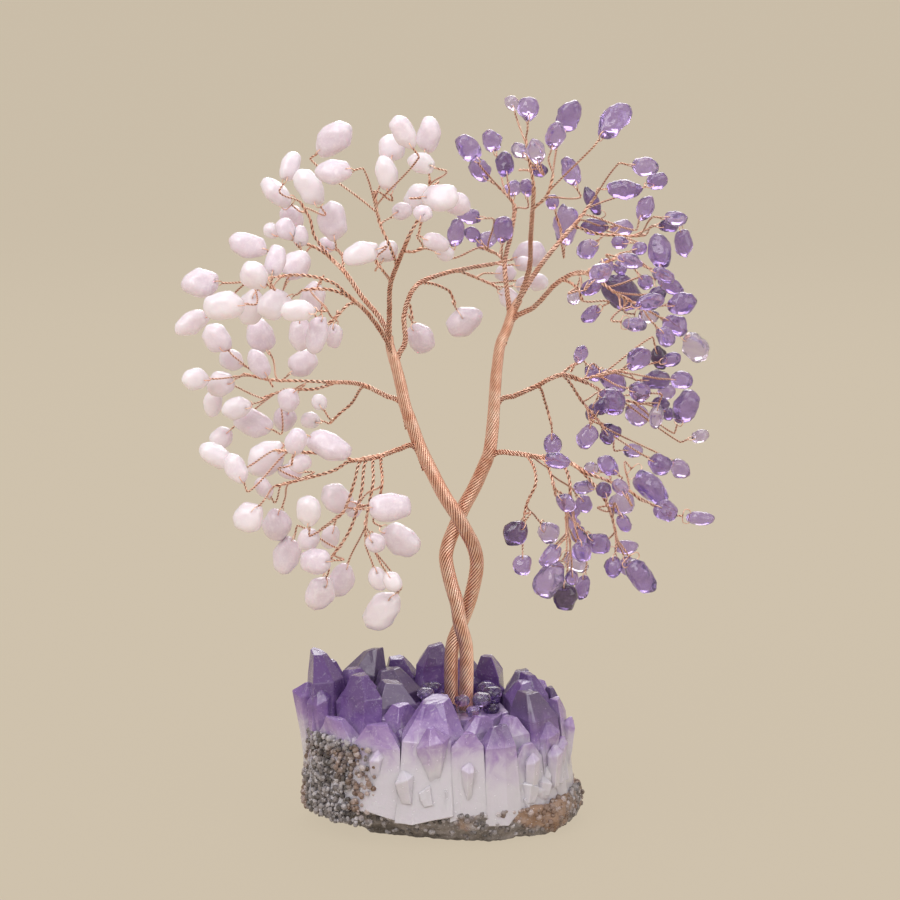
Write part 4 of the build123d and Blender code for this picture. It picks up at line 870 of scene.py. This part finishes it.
def shaken(k, *salts):  # a vector of values from -0.5 to 0.5
    return Vector([scatter(k, salt) - 0.5 for salt in salts])


def around(angle):
    return Vector((cos(angle), sin(angle), 0))


def leaningTo(direction):  # the turn from straight up to a direction
    return Vector((0, 0, 1)).rotation_difference(direction).to_matrix().to_4x4()


def growCrystal(model, foot, top, cap, girth, lean, seed):  # a copy of the crystal, at its own size and lean
    mesh = model.data.copy()
    turn = seed * 7
    for v in mesh.vertices:
        x, y, level = v.co
        atFoot, atTip = level < 0.2, level > 1.2  # the shoulder lies between them
        wide = girth * (habit["foot"] if atFoot else 1.0)
        squash = 1 + habit["squash"] * sin(2.0 * turn + 3 * x + 2 * y)
        skew = Vector()
        height = 0
        if atTip:
            height = top + cap
            skew = Vector((sin(turn), cos(1.7 * turn), 0)) * (habit["skew"] * girth)
        elif not atFoot:
            height = top + habit["slope"] * cap * sin(turn + 2.2 * x)
        v.co = Vector((x * wide * squash, y * wide / squash, height)) + skew
    mesh.transform(Matrix.Rotation(turn, 4, "Z"))
    mesh.transform(leaningTo(lean))
    mesh.transform(Matrix.Translation(foot))
    mesh.transform(Matrix.Scale(mm, 4))
    return added("crystal", mesh)


def islandsOf(mesh):  # the loose parts, as lists of vertex numbers
    beside = [[] for v in mesh.vertices]
    for edge in mesh.edges:
        a, b = edge.vertices
        beside[a].append(b)
        beside[b].append(a)
    met, islands = set(), []
    for v in range(len(beside)):
        if v in met:
            continue
        met.add(v)
        island = [v]
        for u in island:
            fresh = [w for w in beside[u] if w not in met]
            met.update(fresh)
            island += fresh
        islands.append(island)
    return islands


def joined(pieces, name):
    bpy.ops.object.select_all(action="DESELECT")
    for piece in pieces:
        piece.select_set(True)
    bpy.context.view_layer.objects.active = pieces[0]
    bpy.ops.object.join()
    whole = bpy.context.object
    whole.name = name
    return whole


def markIslands(piece):  # height and an own number for each crystal
    low, high = cluster["palest"] * mm, cluster["deepest"] * mm
    mark(piece, "rise", [(v.co.z - low) / (high - low) for v in piece.data.vertices])
    seeds = [0.0] * len(piece.data.vertices)
    for k, island in enumerate(islandsOf(piece.data)):
        for v in island:
            seeds[v] = scatter(k, 3)
    mark(piece, "seed", seeds)


def reshape(mass, k, island, corners, middle, top):  # closed up to its neighbours, and blunter
    tilt = shaken(k, 61, 62).to_3d() * 2
    centre = Vector((teeth["middleX"], 0, 0))
    standing = top > cluster["seat"]
    for v, corner in zip(island, corners):
        atTip = standing and corner.z > top - cluster["near"]
        place = middle + (corner - middle) * cluster["closing"] * (cluster["blunting"] if atTip else 1)
        out = Vector(((place.x - teeth["middleX"]) / teeth["halfWidth"], place.y / teeth["halfDepth"]))
        height = corner.z
        if standing:
            place += tilt * (cluster["lean"] * (corner.z - cluster["floor"]))
        if atTip:
            height += cluster["slant"] * tilt.dot(place - middle)
        if corner.z < cluster["floor"] + cluster["near"] and out.length > cluster["rim"]:  # down over the bed
            height -= cluster["apron"] * drawn(cluster["apronSpread"], v, 17)
            place = centre + (place - centre) * cluster["flare"]
        mass.data.vertices[v].co = Vector((place.x, place.y, height)) * mm


def growYoung(model, k, middle, reach, top):  # younger crystals on the flanks of one
    grown = []
    for j in range(young["each"]):
        angle = 2 * pi * (j + scatter(k, j)) / young["each"]
        out = around(angle)
        girth = young["girth"] * reach * drawn(young["girthSpread"], k, j + 5)
        foot = Vector((middle.x, middle.y, young["root"])) + out * (young["away"] * reach)
        if foot.xy.length < young["clear"] + girth:  # too near the socket
            continue
        tall = (top - young["root"]) * drawn(young["heightSpread"], k, j + 9)
        lean = (Vector((0, 0, 1)) + out * young["lean"]).normalized()
        grown.append(growCrystal(model, foot, tall, young["cap"] * girth, girth, lean, scatter(k, j + 13)))
    return grown


def growTeeth(model):  # pale columns down the flanks of the cluster
    grown = []
    for k in range(teeth["count"]):
        angle = 2 * pi * (k + teeth["jitter"] * scatter(k, 1)) / teeth["count"]
        out = around(angle)
        level = teeth["root"] + teeth["rootRise"] * scatter(k, 4)
        foot = Vector((teeth["middleX"] + teeth["halfWidth"] * out.x, teeth["halfDepth"] * out.y, level))
        sway = shaken(k, 7, 8).to_3d() * teeth["sway"]
        lean = (Vector((0, 0, 1)) - out * sin(radians(teeth["lean"])) + sway).normalized()
        girth = teeth["girth"] * drawn(teeth["girthSpread"], k, 2)
        tall = teeth["tall"] * drawn(teeth["tallSpread"], k, 6)
        grown.append(growCrystal(model, foot, tall, teeth["cap"], girth, lean, scatter(k, 2)))
    return grown


def growCluster(model):
    mass = mergedCopy("amethyst_points", "crystalMass")
    grown = []
    for k, island in enumerate(islandsOf(mass.data)):
        corners = [mass.data.vertices[v].co / mm for v in island]
        middle = sum(corners, Vector()) / len(corners)
        reach = sum((c - middle).xy.length for c in corners) / len(corners)
        top = max(c.z for c in corners)
        reshape(mass, k, island, corners, middle, top)
        grown += growYoung(model, k, middle, reach, top)
    grown += growTeeth(model)
    mass = joined([mass] + grown, "crystalMass")
    reworked(mass, "BEVEL", width=cluster["bevel"] * mm, segments=cluster["segments"], limit_method="ANGLE")
    markIslands(mass)
    reworked(mass, "SUBSURF", subdivision_type="SIMPLE", levels=cluster["finer"])
    crumple(mass, cluster["etch"], cluster["etchSize"])
    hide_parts("amethyst_points")
    dress(mass, crystal, foundation)
    return len(grown)


def roughenRock(node, name, finish):
    stone = roundedCopy(node, name, rind["voxel"], rind["smoothing"], 0, 0)
    for strength, size in ((rind["lump"], rind["lumpSize"]), (rind["pit"], rind["pitSize"])):
        crumple(stone, strength, size)
    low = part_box(node)[0].z
    for v in stone.data.vertices:
        v.co.z = max(v.co.z, low)
    dress(stone, finish, foundation)
    return stone


def sowGrains(model, stone):  # small crystals over the rind, and up the left flank
    spots = []
    lowest = grains["lowest"] * mm
    sides = [f for f in stone.data.polygons if f.normal.z > grains["facing"] and f.center.z > lowest]
    for k in range(grains["around"]):
        face = sides[int(scatter(k, 1) * len(sides))]
        spots.append((face.center.copy(), face.normal.copy()))
    for k in range(grains["patch"]):
        turn = (scatter(k, 21) + scatter(k, 24)) / 2  # thins out to both sides
        angle = radians(grains["patchFrom"] + (grains["patchTo"] - grains["patchFrom"]) * turn)
        out = around(angle)
        rise = scatter(k, 22) ** grains["thinning"]
        height = grains["patchLow"] + (grains["patchHigh"] - grains["patchLow"]) * rise
        reach = 1.0 - grains["drawnIn"] * rise
        thick = grains["patchOut"] * (1 + scatter(k, 23))
        x = teeth["middleX"] + reach * (teeth["halfWidth"] + thick) * out.x
        y = reach * (teeth["halfDepth"] + thick) * out.y
        spots.append((Vector((x, y, height)) * mm, out))
    sown = []
    for k, (spot, normal) in enumerate(spots):
        mesh = model.data.copy()
        size = grains["size"] * drawn(grains["sizeSpread"], k, 31) * mm
        tilt = normal + shaken(k, 32, 33, 34)
        mesh.transform(Matrix.Translation((0, 0, -grains["sink"])))
        mesh.transform(leaningTo(tilt.normalized()))
        mesh.transform(Matrix.Scale(size, 4))
        mesh.transform(Matrix.Translation(spot))
        sown.append(added("grain", mesh))
    crust = joined(sown, "drusyGrains")
    mark(crust, "seed", [scatter(k, 41) for k in range(len(sown)) for v in model.data.vertices])
    dress(crust, drusy, foundation)


def layBed():
    bed = roughenRock("quartz_bed", "quartzBed", crystal)
    middle = teeth["middleX"] * mm
    for v in bed.data.vertices:  # drawn in behind the crystals that grow down over it
        v.co.x = middle + (v.co.x - middle) * rind["bedShare"]
        v.co.y *= rind["bedShare"]
    mark(bed, "rise", [0.0] * len(bed.data.vertices))
    mark(bed, "seed", [0.5] * len(bed.data.vertices))


def heapFootChips():  # the glued chips, and as many more on top of them
    wear = (heap["smoothing"], heap["swell"], heap["uneven"])
    laid = roundedCopy("foot_chips", "footChips", chip["voxel"], *wear)
    upper = added("upperChips", laid.data.copy())
    lift = Matrix.Translation((0, 0, heap["lift"] * mm))
    upper.data.transform(lift @ Matrix.Rotation(radians(heap["turn"]), 4, "Z"))
    chips = joined([laid, upper], "footChips")
    for k, island in enumerate(islandsOf(chips.data)):  # each at its own place and size
        corners = [chips.data.vertices[v] for v in island]
        middle = sum((c.co for c in corners), Vector()) / len(corners)
        away = middle.xy.normalized() * (heap["away"] * scatter(k, 51) * mm)
        shift = Vector((*away, heap["jitter"] * (scatter(k, 53) - 0.5) * mm))
        for c in corners:
            c.co = middle + (c.co - middle) * drawn(heap["sizeSpread"], k, 52) + shift
    angles = [2 * pi * (k + heap["ringStart"]) / heap["chips"] for k in range(heap["chips"])]
    ring = [Vector((heap["ring"] * cos(a), heap["ring"] * sin(a), heap["height"])) * mm for a in angles]
    tones = [heap["tone"] + heap["toneSwing"] * sin(heap["toneRate"] * k) for k in range(heap["chips"])]
    markStones(chips, ring, tones, [0.5] * heap["chips"])
    dress(chips, amethyst, foundation)


crystalModel = modelCrystal()
print("cluster grown,", growCluster(crystalModel), "younger crystals")
sowGrains(crystalModel, roughenRock("rock_rind", "rockRind", rock))
bpy.data.objects.remove(crystalModel)
layBed()
heapFootChips()
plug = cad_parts["socket_glue"]
plug.data.materials.clear()
plug.data.materials.append(glue)
print("rock, bed and foot dressed")


# Stage and light
stage = {"size": 60, "below": 0.2, "flatShare": 0.93}
room = {"tone": (1.0, 0.98, 0.95, 1), "strength": 0.55, "lampAim": 100}
lamps = {"key": ((-0.55, -0.85, 0.95), 0.9, 8.0), "fill": ((0.9, -0.7, 0.55), 0.9, 3.5),
         "back": ((0.1, 0.9, 0.8), 0.7, 5.0), "top": ((0.0, -0.1, 1.2), 0.8, 4.0)}  # place, size, power


def beigeFinish(name):
    sheet = Finish(name)
    pale = sheet.ramp(sheet.grain(9, 2), (0.3, (204, 191, 170)), (0.7, (206, 193, 172)))
    sheet.set(Base_Color=pale, Roughness=0.9, Specular_IOR_Level=0.1)
    flat = sheet.add("ShaderNodeEmission", {}, {"Color": linear(backdropTone), "Strength": 1.0})[0]
    share = sheet.showsBackdrop() * stage["flatShare"]
    mixed = {0: share, 1: Flow(sheet, sheet.shader.outputs[0]), 2: flat}
    shown = sheet.add("ShaderNodeMixShader", {}, mixed)[0]
    sheet.plug(sheet.tree.nodes["Material Output"].inputs["Surface"], shown)
    return sheet.material


def layStage():
    bpy.ops.object.select_all(action="DESELECT")
    bpy.ops.mesh.primitive_plane_add(size=stage["size"], location=(0, 0, -stage["below"] * mm))
    floor = bpy.context.object
    floor.name = "floorSheet"
    floor.data.materials.append(beigeFinish("beigePaper"))


def hangLamps():
    aim = Vector((0, 0, room["lampAim"])) * mm
    for name, (place, size, power) in lamps.items():
        bpy.ops.object.light_add(type="AREA", location=place)
        lamp = bpy.context.object
        lamp.name = name
        lamp.data.size = size
        lamp.data.energy = power
        lamp.rotation_euler = (aim - Vector(place)).to_track_quat("-Z", "Y").to_euler()


def lightRoom():
    world = bpy.data.worlds.new("softRoom")
    world.use_nodes = True
    bpy.context.scene.world = world
    nodes = Nodes(world.node_tree)
    sky = nodes.tree.nodes["Background"]
    nodes.plug(sky.inputs["Color"], room["tone"])
    nodes.plug(sky.inputs["Strength"], room["strength"])
    backdrop = nodes.add("ShaderNodeBackground", {}, {"Color": linear(backdropTone)})[0]
    mixed = {0: nodes.showsBackdrop(), 1: Flow(nodes, sky.outputs[0]), 2: backdrop}
    shown = nodes.add("ShaderNodeMixShader", {}, mixed)[0]
    nodes.plug(nodes.tree.nodes["World Output"].inputs[0], shown)


layStage()
hangLamps()
lightRoom()
print("stage laid and lit")
